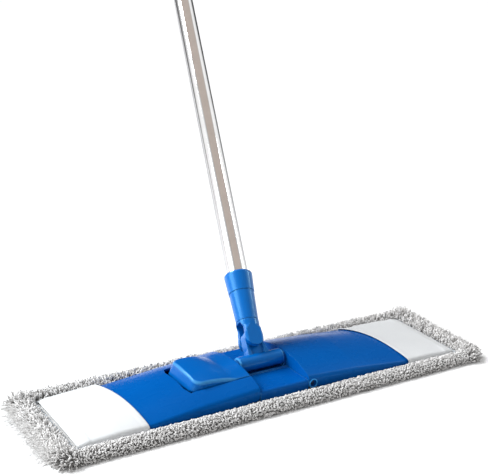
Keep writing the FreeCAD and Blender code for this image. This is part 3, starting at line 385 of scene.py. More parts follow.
def closed_sweep(sections):
    """A closed tube through equal closed sections, with a fan of quads over each end."""
    rows, columns = sections.shape[:2]
    faces = grid_faces(rows, columns, wrap=True)
    half = columns // 2
    k = np.arange(half - 1)
    near = np.stack([k, k + 1, columns - 2 - k, columns - 1 - k], axis=-1)
    last = (rows - 1) * columns
    return sections.reshape(-1, 3), np.concatenate([faces, near[:, ::-1], near + last])


# A strand of pile or thread is a tube with this many sides, so one face closes each end.
STRAND_SIDES = 4


def tubes(centres, radii, across):
    """Many thin tubes at once: centres (n, k, 3), radii (n, k), and a side direction for each."""
    sides = STRAND_SIDES
    count, steps = centres.shape[:2]
    along = unit(np.gradient(centres, axis=1))
    side = unit(across)[:, None, :] * np.ones((1, steps, 1))
    other = unit(np.cross(side, along))
    side = np.cross(along, other)
    turn = 2 * np.pi * np.arange(sides) / sides
    ring = (side[:, :, None, :] * np.cos(turn)[:, None] + other[:, :, None, :] * np.sin(turn)[:, None])
    points = centres[:, :, None, :] + ring * radii[:, :, None, None]
    cap = np.arange(sides)[None, ::-1]
    far_cap = cap[:, ::-1] + (steps - 1) * sides
    faces = np.concatenate([grid_faces(steps, sides, wrap=True), cap, far_cap])
    offsets = np.arange(count)[:, None, None] * steps * sides
    return points.reshape(-1, 3), (faces[None] + offsets).reshape(-1, 4)


def join(parts):
    """Several (points, faces, shade) sets as one."""
    points, faces, shades = [], [], []
    shift = 0
    for part_points, part_faces, part_shade in parts:
        points.append(part_points)
        faces.append(part_faces + shift)
        shades.append(part_shade)
        shift += len(part_points)
    return np.concatenate(points), np.concatenate(faces), np.concatenate(shades)


def join_plain(parts):
    """Several (points, faces) sets as one."""
    points, faces, _ = join([(p, f, np.zeros(len(p))) for p, f in parts])
    return points, faces


# ---------- fringe: looped pile all round the pad ----------

FRONT_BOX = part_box("fringe_front")
LEFT_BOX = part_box("fringe_left")
FIELD_X = -LEFT_BOX[1].x
FIELD_Y = -FRONT_BOX[1].y
SIDE_WIDTH = FRONT_BOX[1].y - FRONT_BOX[0].y
END_WIDTH = LEFT_BOX[1].x - LEFT_BOX[0].x
GROUND = 0.25 * MM
# How much wider the border is at a corner's middle than a plain quarter circle.
CORNER_EXTRA = 0.16
# A corner's length as the loops are counted, as a share of its arc at the full width.
CORNER_LENGTH = 0.62
STATION_SPACING = 3 * MM
ROOT_SPACING = 0.5 * MM
GOLDEN = 0.618034
# Loops: points on each, width, yarn radius, and how far they are sunk into the backing.
LOOP_POINTS = 7
LOOP_WIDTH = 0.9 * MM
YARN = 0.58 * MM
LOOP_SUNK = 0.5 * MM
# Heights of a loop's root between which its painted shade goes from dark, low near the floor, to full
# light.
SHADE_LOW, SHADE_HIGH, SHADE_DARK = 1.0 * MM, 6.0 * MM, 0.1
# Wisps: points on each, radius, droop, and their one shade.
WISP_POINTS = 6
WISP_RADIUS = 0.3 * MM
WISP_DROOP = np.array([0, 0, -0.25])
WISP_SHADE = 0.9

# The backing under the pile: share of the width, height in millimetres.
BACKING = np.array([
    (0.03, 0.6), (0.03, 5.0), (0.09, 6.4), (0.25, 7.6), (0.45, 7.9),
    (0.62, 7.2), (0.76, 5.4), (0.84, 3.0), (0.85, 1.2), (0.8, 0.6),
])
# The part of that outline, from the inner edge to the foot, that loops grow from.
ROOTS = BACKING[1:9]


def border(start, end, out_start, out_end, spacing):
    """Stations along a straight run, or round a corner where only the outward direction turns."""
    start, end = np.array(start), np.array(end)
    length = np.linalg.norm(end - start)
    turning = math.acos(np.clip(np.dot(out_start, out_end), -1, 1))
    count = max(2, int(math.ceil((length + turning * SIDE_WIDTH) / spacing)) + 1)
    share = np.linspace(0, 1, count)[:, None]
    places = start + (end - start) * share
    first = math.atan2(out_start[1], out_start[0])
    sweep = math.atan2(out_start[0] * out_end[1] - out_start[1] * out_end[0], np.dot(out_start, out_end))
    angle = first + sweep * share[:, 0]
    return places, np.stack([np.cos(angle), np.sin(angle)], axis=-1)


def corner_stretch(outward):
    """The border is a little wider towards a corner than a plain quarter circle."""
    return 1 + CORNER_EXTRA * np.abs(2 * outward[:, 0] * outward[:, 1])


def border_point(place, outward, u, z):
    """Points over the border: u is the share of its width, z the height in millimetres."""
    width = (SIDE_WIDTH + (END_WIDTH - SIDE_WIDTH) * np.abs(outward[:, 0])) * corner_stretch(outward)
    flat = place + outward * (u * width)[:, None]
    return np.concatenate([flat, (z * MM)[:, None]], axis=1)


def backing_sweep(runs):
    """The solid backing under the pile, with the darkest painted shade all over."""
    places, outs = [], []
    for run in runs:
        place, out = border(*run, STATION_SPACING)
        places.append(place)
        outs.append(out)
    places, outs = np.concatenate(places), np.concatenate(outs)
    same = np.ones(len(places))
    columns = [border_point(places, outs, u * same, z * same) for u, z in BACKING]
    points, faces = closed_sweep(np.stack(columns, axis=1))
    return points, faces, np.zeros(len(points))


def scatter(runs, per_metre, rng):
    """Random roots along the runs: place, outward direction, share along the outline."""
    places, outs = [], []
    for start, end, out_start, out_end in runs:
        length = np.linalg.norm(np.array(end) - np.array(start))
        turning = math.acos(np.clip(np.dot(out_start, out_end), -1, 1))
        count = int(per_metre * (length + CORNER_LENGTH * turning * SIDE_WIDTH))
        share = (np.arange(count) + rng.random(count)) / count
        place, out = border(start, end, out_start, out_end, ROOT_SPACING)
        index = (share * (len(place) - 1)).astype(int)
        places.append(place[index])
        outs.append(out[index])
    places, outs = np.concatenate(places), np.concatenate(outs)
    return places, outs, (np.arange(len(places)) * GOLDEN + rng.normal(0, 0.02, len(places))) % 1.0


def root_points(places, outs, along):
    """Where each strand is rooted on the backing, and the backing's normal there."""
    steps = np.hypot(np.diff(ROOTS[:, 0]) * SIDE_WIDTH / MM, np.diff(ROOTS[:, 1]))
    reach = np.concatenate([[0], np.cumsum(steps)]) / steps.sum()
    u = np.interp(along, reach, ROOTS[:, 0])
    z = np.interp(along, reach, ROOTS[:, 1])
    ahead = np.clip(along + 0.02, 0, 1)
    behind = np.clip(along - 0.02, 0, 1)
    du = (np.interp(ahead, reach, ROOTS[:, 0]) - np.interp(behind, reach, ROOTS[:, 0])) * SIDE_WIDTH
    dz = (np.interp(ahead, reach, ROOTS[:, 1]) - np.interp(behind, reach, ROOTS[:, 1])) * MM
    normal = np.concatenate([outs * -dz[:, None], du[:, None]], axis=1)
    return border_point(places, outs, u, z), unit(normal)


def loops(runs, per_metre, rng, height, lean_out, mess, growth):
    """Small loops of yarn standing on the backing, taller round a corner by the growth."""
    places, outs, along = scatter(runs, per_metre, rng)
    root, normal = root_points(places, outs, along)
    count = len(root)
    outward = np.concatenate([outs, np.zeros((count, 1))], axis=1)
    tangent = np.stack([-outs[:, 1], outs[:, 0], np.zeros(count)], axis=-1)
    drift = rng.normal(0, mess, (count, 2))
    turned = growth * np.abs(outs[:, 0])
    up = unit(normal + outward * ((lean_out + 0.5 * turned) * (0.3 + along))[:, None]
              + tangent * drift[:, :1] + outward * drift[:, 1:])
    spin = rng.random(count) * np.pi
    second = unit(np.cross(up, tangent))
    flat = np.cross(second, up)
    side = flat * np.cos(spin)[:, None] + second * np.sin(spin)[:, None]
    phase = np.linspace(0, np.pi, LOOP_POINTS)
    inner_short = np.interp(along, [0, 0.16, 0.3, 1], [0.42, 0.7, 1.0, 1.0])
    tall = height * (1 + turned) * rng.uniform(0.8, 1.2, count) * inner_short
    wide = LOOP_WIDTH * rng.uniform(0.75, 1.25, count)
    rise = np.sin(phase) ** 0.75
    open_out = np.cos(phase) * (1 + 0.35 * np.sin(phase))
    bend = rng.normal(0, 0.28, (count, 1)) * tall[:, None] * rise ** 2
    centres = (root - up * LOOP_SUNK)[:, None, :] \
        + side[:, None, :] * (wide[:, None] * open_out)[:, :, None] \
        + up[:, None, :] * (tall[:, None] * rise)[:, :, None] \
        + np.cross(up, side)[:, None, :] * bend[:, :, None]
    radii = YARN * rng.uniform(0.8, 1.2, (count, 1)) * (0.85 + 0.15 * rise)
    points, faces = tubes(centres, radii, np.cross(up, side))
    # Painted shade: darker towards each loop's root, and darker still for loops rooted low near the floor.
    lit = np.interp(root[:, 2], [SHADE_LOW, SHADE_HIGH], [SHADE_DARK, 1.0])
    painted_shading = np.repeat(lit[:, None] * rise, STRAND_SIDES, axis=1).reshape(-1)
    points[:, 2] = np.maximum(points[:, 2], GROUND)
    return points, faces, painted_shading


def wisps(runs, per_metre, rng, length, lean_out, growth, inner):
    """Fine strands standing out of the pile from an inner share outwards, longer round a corner."""
    places, outs, along = scatter(runs, per_metre, rng)
    along = inner + (1 - inner) * along
    root, normal = root_points(places, outs, along)
    count = len(root)
    outward = np.concatenate([outs, np.zeros((count, 1))], axis=1)
    turned = growth * np.abs(outs[:, 0])
    up = unit(normal + outward * (lean_out + 0.5 * turned)[:, None] + rng.normal(0, 0.35, (count, 3)))
    curl = unit(np.cross(up, rng.normal(0, 1, (count, 3))))
    share = np.linspace(0, 1, WISP_POINTS)
    tall = length * (1 + turned) * rng.uniform(0.6, 1.2, count)
    centres = root[:, None, :] + up[:, None, :] * (tall[:, None] * share)[:, :, None] \
        + curl[:, None, :] * (rng.normal(0, 0.3, (count, 1)) * tall[:, None] * share ** 2)[:, :, None] \
        + WISP_DROOP * (tall[:, None] * share ** 2)[:, :, None]
    radii = WISP_RADIUS * (1 - 0.75 * share)[None, :] * np.ones((count, 1))
    points, faces = tubes(centres, radii, curl)
    points[:, 2] = np.maximum(points[:, 2], GROUND)
    return points, faces, np.full(len(points), WISP_SHADE)


LEFT, RIGHT, FRONT, BACK = (-1.0, 0.0), (1.0, 0.0), (0.0, -1.0), (0.0, 1.0)
CORNERS = {side: (side[0] * FIELD_X, side[1] * FIELD_Y) for side in ((-1, -1), (1, -1), (-1, 1), (1, 1))}
FRINGES = {
    "fringe_front": [
        (CORNERS[-1, -1], CORNERS[-1, -1], LEFT, FRONT),
        (CORNERS[-1, -1], CORNERS[1, -1], FRONT, FRONT),
        (CORNERS[1, -1], CORNERS[1, -1], FRONT, RIGHT),
    ],
    "fringe_back": [
        (CORNERS[1, 1], CORNERS[1, 1], RIGHT, BACK),
        (CORNERS[1, 1], CORNERS[-1, 1], BACK, BACK),
        (CORNERS[-1, 1], CORNERS[-1, 1], BACK, LEFT),
    ],
    "fringe_left": [(CORNERS[-1, 1], CORNERS[-1, -1], LEFT, LEFT)],
    "fringe_right": [(CORNERS[1, -1], CORNERS[1, 1], RIGHT, RIGHT)],
}
# Pile for each border: loops per metre, loop height, lean, mess, wisps per metre, their length, growth at
# corners, and where across the border the wisps begin.
PILES = {
    "fringe_front": (6900, 4.0, 0.1, 0.22, 600, 5.0, 1.6, 0.25),
    "fringe_back": (6700, 6.8, 0.2, 0.32, 900, 8.0, 0.8, 0.25),
    "fringe_left": (12500, 8.4, 0.85, 0.42, 7000, 17.5, 0.0, 0.6),
    "fringe_right": (10500, 9.2, 1.0, 0.36, 3500, 15.0, 0.0, 0.4),
}
for order, (name, runs) in enumerate(FRINGES.items()):
    rng = np.random.default_rng(SEED + order)
    per_metre, height, lean_out, mess, wisp_count, wisp_length, growth, inner = PILES[name]
    parts = [
        backing_sweep(runs),
        loops(runs, per_metre, rng, height * MM, lean_out, mess, growth),
        wisps(runs, wisp_count, rng, wisp_length * MM, lean_out, growth, inner),
    ]
    points, faces, painted_shading = join(parts)
    piece = new_piece(name + "_pile", points, faces, PILE, "fringe_microfibre", "pad", painted_shading)
    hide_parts(name)


# ---------- sole: ribbed pile slab ----------

SOLE_COLUMNS, SOLE_ROWS = 232, 121
SOLE_EDGE = 3 * MM
RIB_PITCH, RIB_DEPTH = 5.36 * MM, 1.5 * MM
TUFT_PITCH, TUFT_DEPTH = 4.1 * MM, 0.35 * MM
SOLE_ROUGH, SOLE_TOP_ROUGH = 0.25 * MM, 0.08 * MM


def make_sole():
    low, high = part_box("pad_sole")
    columns, rows = SOLE_COLUMNS, SOLE_ROWS
    rng = np.random.default_rng(SEED + 20)
    x = np.linspace(low.x, high.x, columns)
    y = np.linspace(low.y, high.y, rows)
    wide, deep = np.meshgrid(x, y)
    edge = np.minimum(high.x - np.abs(wide), high.y - np.abs(deep))
    crown = np.clip(edge / SOLE_EDGE, 0, 1)
    rounded = np.sqrt(1 - (1 - crown) ** 2)
    ribs = 0.5 + 0.5 * np.cos(2 * np.pi * deep / RIB_PITCH)
    tufts = 0.5 + 0.5 * np.sin(2 * np.pi * wide / TUFT_PITCH + rng.random((rows, 1)) * 6)
    lift = (1 - ribs) * RIB_DEPTH + tufts * TUFT_DEPTH + rng.random((rows, columns)) * SOLE_ROUGH
    middle = 0.5 * (low.z + high.z)
    bottom = middle - (middle - low.z - lift) * rounded
    top = middle + (high.z - middle) * rounded - rng.random((rows, columns)) * SOLE_TOP_ROUGH
    count = rows * columns
    upper = np.stack([wide, deep, top], axis=-1).reshape(-1, 3)
    lower = np.stack([wide, deep, bottom], axis=-1).reshape(-1, 3)
    points = np.concatenate([upper, lower])
    faces = grid_faces(rows, columns)
    faces = np.concatenate([faces, faces[:, ::-1] + count])
    # Painted shade: the top face takes a fixed middle value; the underside is darker where its grooves are
    # deeper.
    painted_shading = np.concatenate([np.full(count, 0.55), (1 - lift / lift.max()).reshape(-1)])
    piece = new_piece("sole_pile", points, faces, SOLE, "sole_microfibre", "pad", painted_shading)
    weld(piece, 0.01 * MM)
    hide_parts("pad_sole")


def weld(piece, distance):
    """Merge points that meet, as round a sheet's rim."""
    modifier = piece.modifiers.new("weld", "WELD")
    modifier.merge_threshold = distance
    apply_modifiers(piece)


def apply_modifiers(piece):
    """Put the modifiers' result into the mesh."""
    evaluated = piece.evaluated_get(bpy.context.evaluated_depsgraph_get())
    mesh = bpy.data.meshes.new_from_object(evaluated)
    piece.modifiers.clear()
    piece.data = mesh


make_sole()


# ---------- hem: folded tape round the field, with its stitches ----------

def tape_run(start, end, width, inward, height):
    """A half-round band with a pucker at each stitch."""
    start, end = np.array(start), np.array(end)
    length = np.linalg.norm(end - start)
    count = int(length / (1.0 * MM))
    share = np.linspace(0, 1, count)
    pucker = 1 + 0.14 * np.sin(2 * np.pi * share * length / STITCH)
    turn = np.linspace(0, np.pi, 8)
    across = (0.5 - 0.5 * np.cos(turn)) * width
    up = np.sin(turn) ** 0.6
    base = start + (end - start) * share[:, None]
    flat = base[:, None, :] + np.array(inward) * across[None, :, None]
    z = HEM_FOOT + height * pucker[:, None] * up[None, :]
    return closed_sweep(np.concatenate([flat, z[:, :, None]], axis=-1))


def stitch_run(start, end, height):
    """A row of arched stitches over a band."""
    start, end = np.array(start), np.array(end)
    length = np.linalg.norm(end - start)
    count = int(length / STITCH) - 1
    share = (np.arange(count) + 0.75) / (count + 0.5)
    middle = start + (end - start) * share[:, None]
    along = (end - start) / length
    reach = np.linspace(-0.42, 0.42, 5) * STITCH
    arch = 0.32 * MM * np.cos(np.linspace(-1.4, 1.4, 5))
    flat = middle[:, None, :] + along * reach[None, :, None]
    z = np.broadcast_to((HEM_FOOT + height + arch)[None, :, None], (count, 5, 1))
    centres = np.concatenate([flat, z], axis=-1)
    radii = np.full((count, 5), 0.24 * MM) * np.array([0.6, 1, 1.1, 1, 0.6])
    across = np.tile(np.array([-along[1], along[0], 0.0]), (count, 1))
    return tubes(centres, radii, across)


HEM_LOW, HEM_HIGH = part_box("hem_tape")
HEM_FOOT = HEM_LOW.z - 0.1 * MM
STITCH = 3.2 * MM
END_TAPE = 4.4 * MM
SIDE_TAPE = 1.4 * MM


def make_hem():
    height = HEM_HIGH.z - HEM_FOOT - 0.2 * MM
    x, y = HEM_HIGH.x, HEM_HIGH.y
    bands = []
    threads = []
    for sign in (-1, 1):
        bands.append(tape_run((-x, sign * y), (x, sign * y), SIDE_TAPE, (0, -sign), height))
        bands.append(tape_run((sign * x, -y), (sign * x, y), END_TAPE, (-sign, 0), height * 0.9))
        line = sign * (x - 0.72 * END_TAPE)
        threads.append(stitch_run((line, -y + 2 * MM), (line, y - 2 * MM), height * 0.75))
        threads.append(stitch_run((-x + END_TAPE, sign * (y - SIDE_TAPE / 2)),
                                  (x - END_TAPE, sign * (y - SIDE_TAPE / 2)), height * 0.98))
    band = new_piece("hem_band", *join_plain(bands), TAPE, "hem", "pad")
    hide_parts("hem_tape")
    new_piece("hem_stitches", *join_plain(threads), THREAD, "hem", "pad")


make_hem()


# ---------- pockets: cloth stretched over the wing tips ----------

# Sections along x in millimetres: place, crown height, crown radius, half width, corner radius.
POCKET_SECTIONS = np.array([
    (130.0, 23.9, 141.0, 52.2, 4.4),
    (155.0, 20.8, 150.0, 52.2, 4.2),
    (212.0, 14.8, 330.0, 52.2, 4.5),
    (225.6, 9.4, 1500.0, 51.0, 1.8),
])
POCKET_FOOT = 6.1
POCKET_END = 225.6
CLOTH_THICKNESS = 0.8
MOUTH_HEM = 6.0
# The cloth's two faces stand this far above and below its middle, in millimetres.
FACE_ABOVE, FACE_BELOW = 0.15, CLOTH_THICKNESS - 0.25
# Depths in millimetres: folds from the corners, folds along the sides, sag, mouth hem, stitch line.
CORNER_FOLDS, SIDE_FOLDS, SAG, HEM_STEP, STITCH_DENT = 0.12, 0.16, 0.35, 0.3, 0.12
STITCH_LENGTH = 2.6
TURNED_UNDER = 4.0


def pocket_section(x, share):
    """Height and side place, in millimetres, at a place along x; share runs -1 to 1 round the section."""
    places, *measures = POCKET_SECTIONS.T
    crown, radius, half, corner = [np.interp(x, places, measure) for measure in measures]
    centre_z = crown - radius
    corner_y = half - corner
    corner_z = centre_z + np.sqrt((radius - corner) ** 2 - corner_y ** 2)
    lean = np.arctan2(corner_z - centre_z, corner_y)
    top = radius * (np.pi / 2 - lean)
    bend = corner * lean
    wall = corner_z - POCKET_FOOT
    travel = np.abs(share) * (top + bend + wall)
    on_top = np.clip(travel, 0, top) / radius
    y = radius * np.sin(on_top)
    z = centre_z + radius * np.cos(on_top)
    on_bend = np.clip(travel - top, 0, bend) / corner
    past = travel > top
    y = np.where(past, corner_y + corner * np.cos(lean - on_bend), y)
    z = np.where(past, corner_z + corner * np.sin(lean - on_bend), z)
    z = z - np.clip(travel - top - bend, 0, None)
    return np.sign(share) * y, z, 2 * (top + bend + wall)


def make_pocket(name, sign, mouth_x, mouth_skew):
    """A pocket from its slanting mouth to the end seam; returns the cloth's flat size in metres."""
    rows, columns = 110, 150
    share = np.linspace(-1, 1, columns)[None, :] * np.ones((rows, 1))
    along = (np.linspace(0, 1, rows)[:, None] ** 0.9) * np.ones((1, columns))
    mouth = mouth_x + mouth_skew * share * 52.0
    x = mouth + (POCKET_END - mouth) * along
    y, z, girth = pocket_section(x, share)
    # Slack gathers into soft folds that fan out from the two end corners and from the mouth's sides.
    folds = np.zeros_like(z)
    for corner in (-1, 1):
        far = np.hypot((POCKET_END - x) / 40, (y - corner * 52) / 34)
        angle = np.arctan2((y - corner * 52) * corner, POCKET_END - x + 6)
        folds += CORNER_FOLDS * np.exp(-far ** 2) * np.sin(9 * angle + 1.3 * corner) ** 2
        side = np.exp(-((np.abs(y) - 46) / 7) ** 2) * (np.sign(y) == corner)
        wave = np.sin(x / 5.3 + 2.1 * corner) + 0.6 * np.sin(x / 3.1 + corner + sign)
        folds += SIDE_FOLDS * side * (1 + 0.5 * wave)
    sag = SAG * np.exp(-((x - 190) / 18) ** 2) * np.exp(-(y / 30) ** 2)
    past_hem = (x - mouth) - MOUTH_HEM
    hem = HEM_STEP / (1 + np.exp(past_hem / 0.35))
    stitches = 0.5 + 0.5 * np.cos(y / STITCH_LENGTH * 2 * np.pi)
    needle = STITCH_DENT * np.exp(-((past_hem + 1.2) / 0.5) ** 2) * stitches
    lift = folds + sag + hem - needle
    outer = np.stack([x * sign, y, z], axis=-1)
    normal = np.cross(np.gradient(outer, axis=0), np.gradient(outer, axis=1))
    normal = unit(normal) * sign
    normal = np.where(normal[..., 2:3] < -0.2, -normal, normal)
    outer = outer + normal * lift[..., None]
    inner = outer - normal * FACE_BELOW
    outer = outer + normal * FACE_ABOVE
    outer[..., 2] = np.maximum(outer[..., 2], POCKET_FOOT - 0.4)
    inner[..., 2] = np.maximum(inner[..., 2], POCKET_FOOT - 0.5)
    count = rows * columns
    points = np.concatenate([outer.reshape(-1, 3), inner.reshape(-1, 3)]) * MM
    faces = grid_faces(rows, columns)
    rim = np.concatenate([
        np.arange(columns),
        np.arange(1, rows) * columns + columns - 1,
        (rows - 1) * columns + np.arange(columns - 2, -1, -1),
        np.arange(rows - 2, 0, -1) * columns,
    ])
    following = np.roll(rim, -1)
    edge = np.stack([rim, following, following + count, rim + count], axis=-1)
    all_faces = np.concatenate([faces[:, ::-1], faces + count, edge])
    if sign > 0:
        all_faces = all_faces[:, ::-1]
    piece = new_piece(name + "_cloth", points, all_faces, CLOTH, "pocket_cloth", "pad")
    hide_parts(name)
    wide = float(girth.mean()) * MM
    long = float((POCKET_END - mouth).mean() + TURNED_UNDER) * MM
    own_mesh(piece)
    return wide, long


FLAT = {
    "left_pocket": make_pocket("left_pocket", -1, 159.0, 0.12),
    "right_pocket": make_pocket("right_pocket", 1, 150.0, -0.22),
}
print("pocket cloth, flat, in metres:", FLAT)


# ---------- foot pedal: domed shell with rounded corners ----------

# Crown height along the pedal: distance left of the middle, height, in millimetres.
PEDAL_CROWN = np.array([
    (29.9, 31.3), (38.0, 31.0), (46.0, 30.75), (50.0, 31.0), (55.0, 32.3), (62.0, 33.9),
    (70.0, 34.8), (78.0, 35.0), (86.0, 34.8), (91.4, 34.4), (99.0, 33.4),
])
PEDAL_RADIUS = 133.0
PEDAL_RIGHT = 29.9
PEDAL_RIGHT_HALF = 31.0
PEDAL_LEFT = 91.2
PEDAL_LEFT_HALF = 28.6
PEDAL_CORNER = 9.5
PEDAL_BULGE = 0.9
PEDAL_FOOT = 20.6
PEDAL_SHELL = 2.2
PEDAL_LIP = 3.1
PEDAL_BACK_LIFT = 0.042
# How much of the lip is left at the pedal's right, where the moulding runs flat.
FLAT_LIP = 0.7
# Where the lip goes from rounded to flat, along x.
LIP_CHANGE = (-52, -40)
WALL_RINGS = 6
LIP_RINGS = 9
# Further rings on the top, in lip widths from the rim.
TOP_RINGS = [1.5, 2.3, 3.5, 5.2, 7.2, 9.0]
# The ribs inside: x from and to, y from and to, z from and to.
RIBS = [
    (-48.0, -40.0, -26.0, -22.0, 16.2, 27.0),
    (-48.0, -40.0, 22.0, 26.0, 16.2, 27.0),
    (-90.0, -84.0, -6.0, 6.0, 20.2, 33.0),
]
RIB_LEVELS = 5
RIB_SIDES = 16
RIB_POINTS = RIB_LEVELS * RIB_SIDES


def smooth_step(value, low, high):
    """0 below low, 1 above high, and a smooth change between."""
    share = np.clip((value - low) / (high - low), 0, 1)
    return share * share * (3 - 2 * share)


def pedal_top(x, y):
    """Height of the pedal's top over a point, in millimetres."""
    fine = np.linspace(PEDAL_CROWN[0, 0], PEDAL_CROWN[-1, 0], 400)
    crown = np.interp(fine, PEDAL_CROWN[:, 0], PEDAL_CROWN[:, 1])
    window = np.hanning(25)
    crown = np.convolve(np.pad(crown, 12, mode="edge"), window / window.sum(), mode="valid")
    rise = smooth_step(-x, 48, 68)
    z = np.interp(-x, fine, crown) - PEDAL_RADIUS + np.sqrt(PEDAL_RADIUS ** 2 - y ** 2)
    return z + PEDAL_BACK_LIFT * y * rise


def pedal_outline(inset):
    """The rim in plan, from the right front corner round the left end, and its outward directions."""
    corner_x = -PEDAL_LEFT + PEDAL_CORNER
    corner_y = PEDAL_LEFT_HALF - PEDAL_CORNER
    line = np.linspace(0, 1, 61)[:-1]
    front = np.stack([-PEDAL_RIGHT + (corner_x + PEDAL_RIGHT) * line,
                      -PEDAL_RIGHT_HALF + (PEDAL_RIGHT_HALF - PEDAL_LEFT_HALF) * line], axis=-1)
    turn = np.linspace(0, np.pi / 2, 25)[:-1]
    arc = np.stack([corner_x - PEDAL_CORNER * np.sin(turn),
                    -corner_y - PEDAL_CORNER * np.cos(turn)], axis=-1)
    rise = np.linspace(-corner_y, corner_y, 31)[:-1]
    bulge = PEDAL_BULGE * np.cos(0.5 * np.pi * rise / corner_y) ** 2
    end = np.stack([-PEDAL_LEFT - bulge, rise], axis=-1)
    start = np.array([[-PEDAL_LEFT, corner_y]])
    back_arc = np.concatenate([start, (arc * (1, -1))[::-1][:-1]])
    back = (front * (1, -1))[::-1]
    right_y = np.linspace(PEDAL_RIGHT_HALF, -PEDAL_RIGHT_HALF, 42)[1:-1]
    right = np.stack([np.full(len(right_y), -PEDAL_RIGHT), right_y], axis=-1)
    rim = np.concatenate([front, arc, end, back_arc, back, right])
    along = np.roll(rim, -1, axis=0) - np.roll(rim, 1, axis=0)
    outward = unit(np.stack([-along[:, 1], along[:, 0]], axis=-1))
    return rim - outward * inset, outward


def pedal_skin(inset, drop, foot):
    """Rings from the foot of the wall, up over the lip, to the middle line of the top."""

    def on_top(flat, fall=0.0):
        height = pedal_top(flat[:, 0], flat[:, 1]) - drop - fall
        return np.concatenate([flat, height[:, None]], axis=1)

    rim, outward = pedal_outline(inset)
    lip = PEDAL_LIP - (PEDAL_LIP - FLAT_LIP) * smooth_step(rim[:, 0], *LIP_CHANGE)
    rim_z = on_top(rim, lip)[:, 2]
    rings = []
    flare = 0.47 * np.clip(-outward[:, 0], 0, 1) ** 1.5 + 0.01
    for share in np.linspace(1, 0, WALL_RINGS + 1)[:-1]:
        depth = (rim_z - foot) * share
        flat = rim + outward * (flare * depth)[:, None]
        rings.append(np.concatenate([flat, (rim_z - depth)[:, None]], axis=1))
    middle = np.stack([np.clip(rim[:, 0], -68, -48), np.zeros(len(rim))], axis=-1)
    reach = np.linalg.norm(middle - rim, axis=1)
    lip_steps = 1 - np.cos(np.linspace(0, 1, LIP_RINGS) * np.pi / 2)
    for step in np.concatenate([lip_steps, TOP_RINGS]):
        inward = np.minimum(step * lip, reach)
        flat = rim + (middle - rim) * (inward / reach)[:, None]
        fall = lip - np.sqrt(np.clip(lip ** 2 - (lip - np.minimum(inward, lip)) ** 2, 0, None))
        rings.append(on_top(flat, fall))
    for share in (0.5, 0.75, 1.0):
        flat = rings[-1][:, :2]
        flat = flat + (middle - flat) * share
        rings.append(on_top(flat))
    return np.stack(rings)


def rib(x_low, x_high, y_low, y_high, z_low, z_high):
    """A tapered rib with rounded upright edges, in millimetres."""
    levels = np.linspace(0, 1, RIB_LEVELS)
    x_mid, y_mid = 0.5 * (x_low + x_high), 0.5 * (y_low + y_high)
    half_x, half_y = 0.5 * (x_high - x_low), 0.5 * (y_high - y_low)
    turn = 2 * np.pi * (np.arange(RIB_SIDES) + 0.5) / RIB_SIDES
    box_x = np.sign(np.cos(turn)) * np.abs(np.cos(turn)) ** 0.35
    box_y = np.sign(np.sin(turn)) * np.abs(np.sin(turn)) ** 0.35
    sections = np.zeros((RIB_LEVELS, RIB_SIDES, 3))
    sections[:, :, 0] = x_mid + half_x * box_x * (0.9 + 0.1 * levels[:, None])
    sections[:, :, 1] = y_mid + half_y * box_y * (0.9 + 0.1 * levels[:, None])
    sections[:, :, 2] = z_low + (z_high - z_low) * levels[:, None]
    return closed_sweep(sections)


def make_pedal():
    outer = pedal_skin(0.0, 0.0, PEDAL_FOOT)
    inner = pedal_skin(PEDAL_SHELL, PEDAL_SHELL, PEDAL_FOOT)
    rings, columns = outer.shape[:2]
    faces = grid_faces(rings, columns, wrap=True)
    count = rings * columns
    k = np.arange(columns)
    following = (k + 1) % columns
    foot = np.stack([following, k, k + count, following + count], axis=-1)
    shell = np.concatenate([outer.reshape(-1, 3), inner.reshape(-1, 3)])
    shell_faces = np.concatenate([faces, faces[:, ::-1] + count, foot])
    # Painted highlight: a value along the lip's rings, weaker where the lip runs flat, that lightens the
    # pedal's blue there.
    lip = np.zeros((rings, columns))
    lip[WALL_RINGS:WALL_RINGS + LIP_RINGS] = np.sin(np.linspace(0, np.pi, LIP_RINGS))[:, None]
    lip *= 1 - 0.6 * smooth_step(outer[:, :, 0], *LIP_CHANGE)
    parts = [(shell, shell_faces, np.concatenate([lip.reshape(-1), np.zeros(count)]))]
    parts += [(*rib(*extent), np.zeros(RIB_POINTS)) for extent in RIBS]
    points, faces, lip = join(parts)
    piece = new_piece("pedal_shell", points * MM, faces, BLUE_PEDAL, "blue_plastic", "pedal", lip)
    weld(piece, 0.005 * MM)
    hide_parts("foot_pedal")


make_pedal()


# ---------- pedal spring ----------

def make_spring():
    """A bent leaf: flat foot, ramp and flat tip, with rolled bends."""
    low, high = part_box("pedal_spring")
    foot, tip = low.z, high.z - 0.7 * MM
    route = np.array([(high.x, foot), (high.x - 10.2 * MM, foot), (low.x + 4 * MM, tip), (low.x, tip)])
    share = np.linspace(0, 1, 60)
    lengths = np.hypot(*np.diff(route, axis=0).T)
    reach = np.concatenate([[0], np.cumsum(lengths)]) / lengths.sum()
    line = np.stack([np.interp(share, reach, route[:, i]) for i in (0, 1)], axis=-1)
    for _ in range(10):
        line[1:-1] = 0.25 * line[:-2] + 0.5 * line[1:-1] + 0.25 * line[2:]
    half, thick, soft = 4.9 * MM, 0.65 * MM, 0.15 * MM
    outline = [(-half + soft, 0), (half - soft, 0), (half, soft), (half, thick - soft),
               (half - soft, thick), (-half + soft, thick), (-half, thick - soft), (-half, soft)]
    section = np.array(outline)
    sections = np.zeros((len(line), len(section), 3))
    sections[:, :, 0] = line[:, :1]
    sections[:, :, 1] = section[None, :, 0]
    sections[:, :, 2] = line[:, 1:] + section[None, :, 1]
    points, faces = closed_sweep(sections)
    piece = new_piece("pedal_leaf_spring", points, faces, STEEL, "steel", "left_wing")
    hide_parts("pedal_spring")
    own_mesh(piece)


make_spring()


# ---------- rim round the right hinge pin's hole ----------

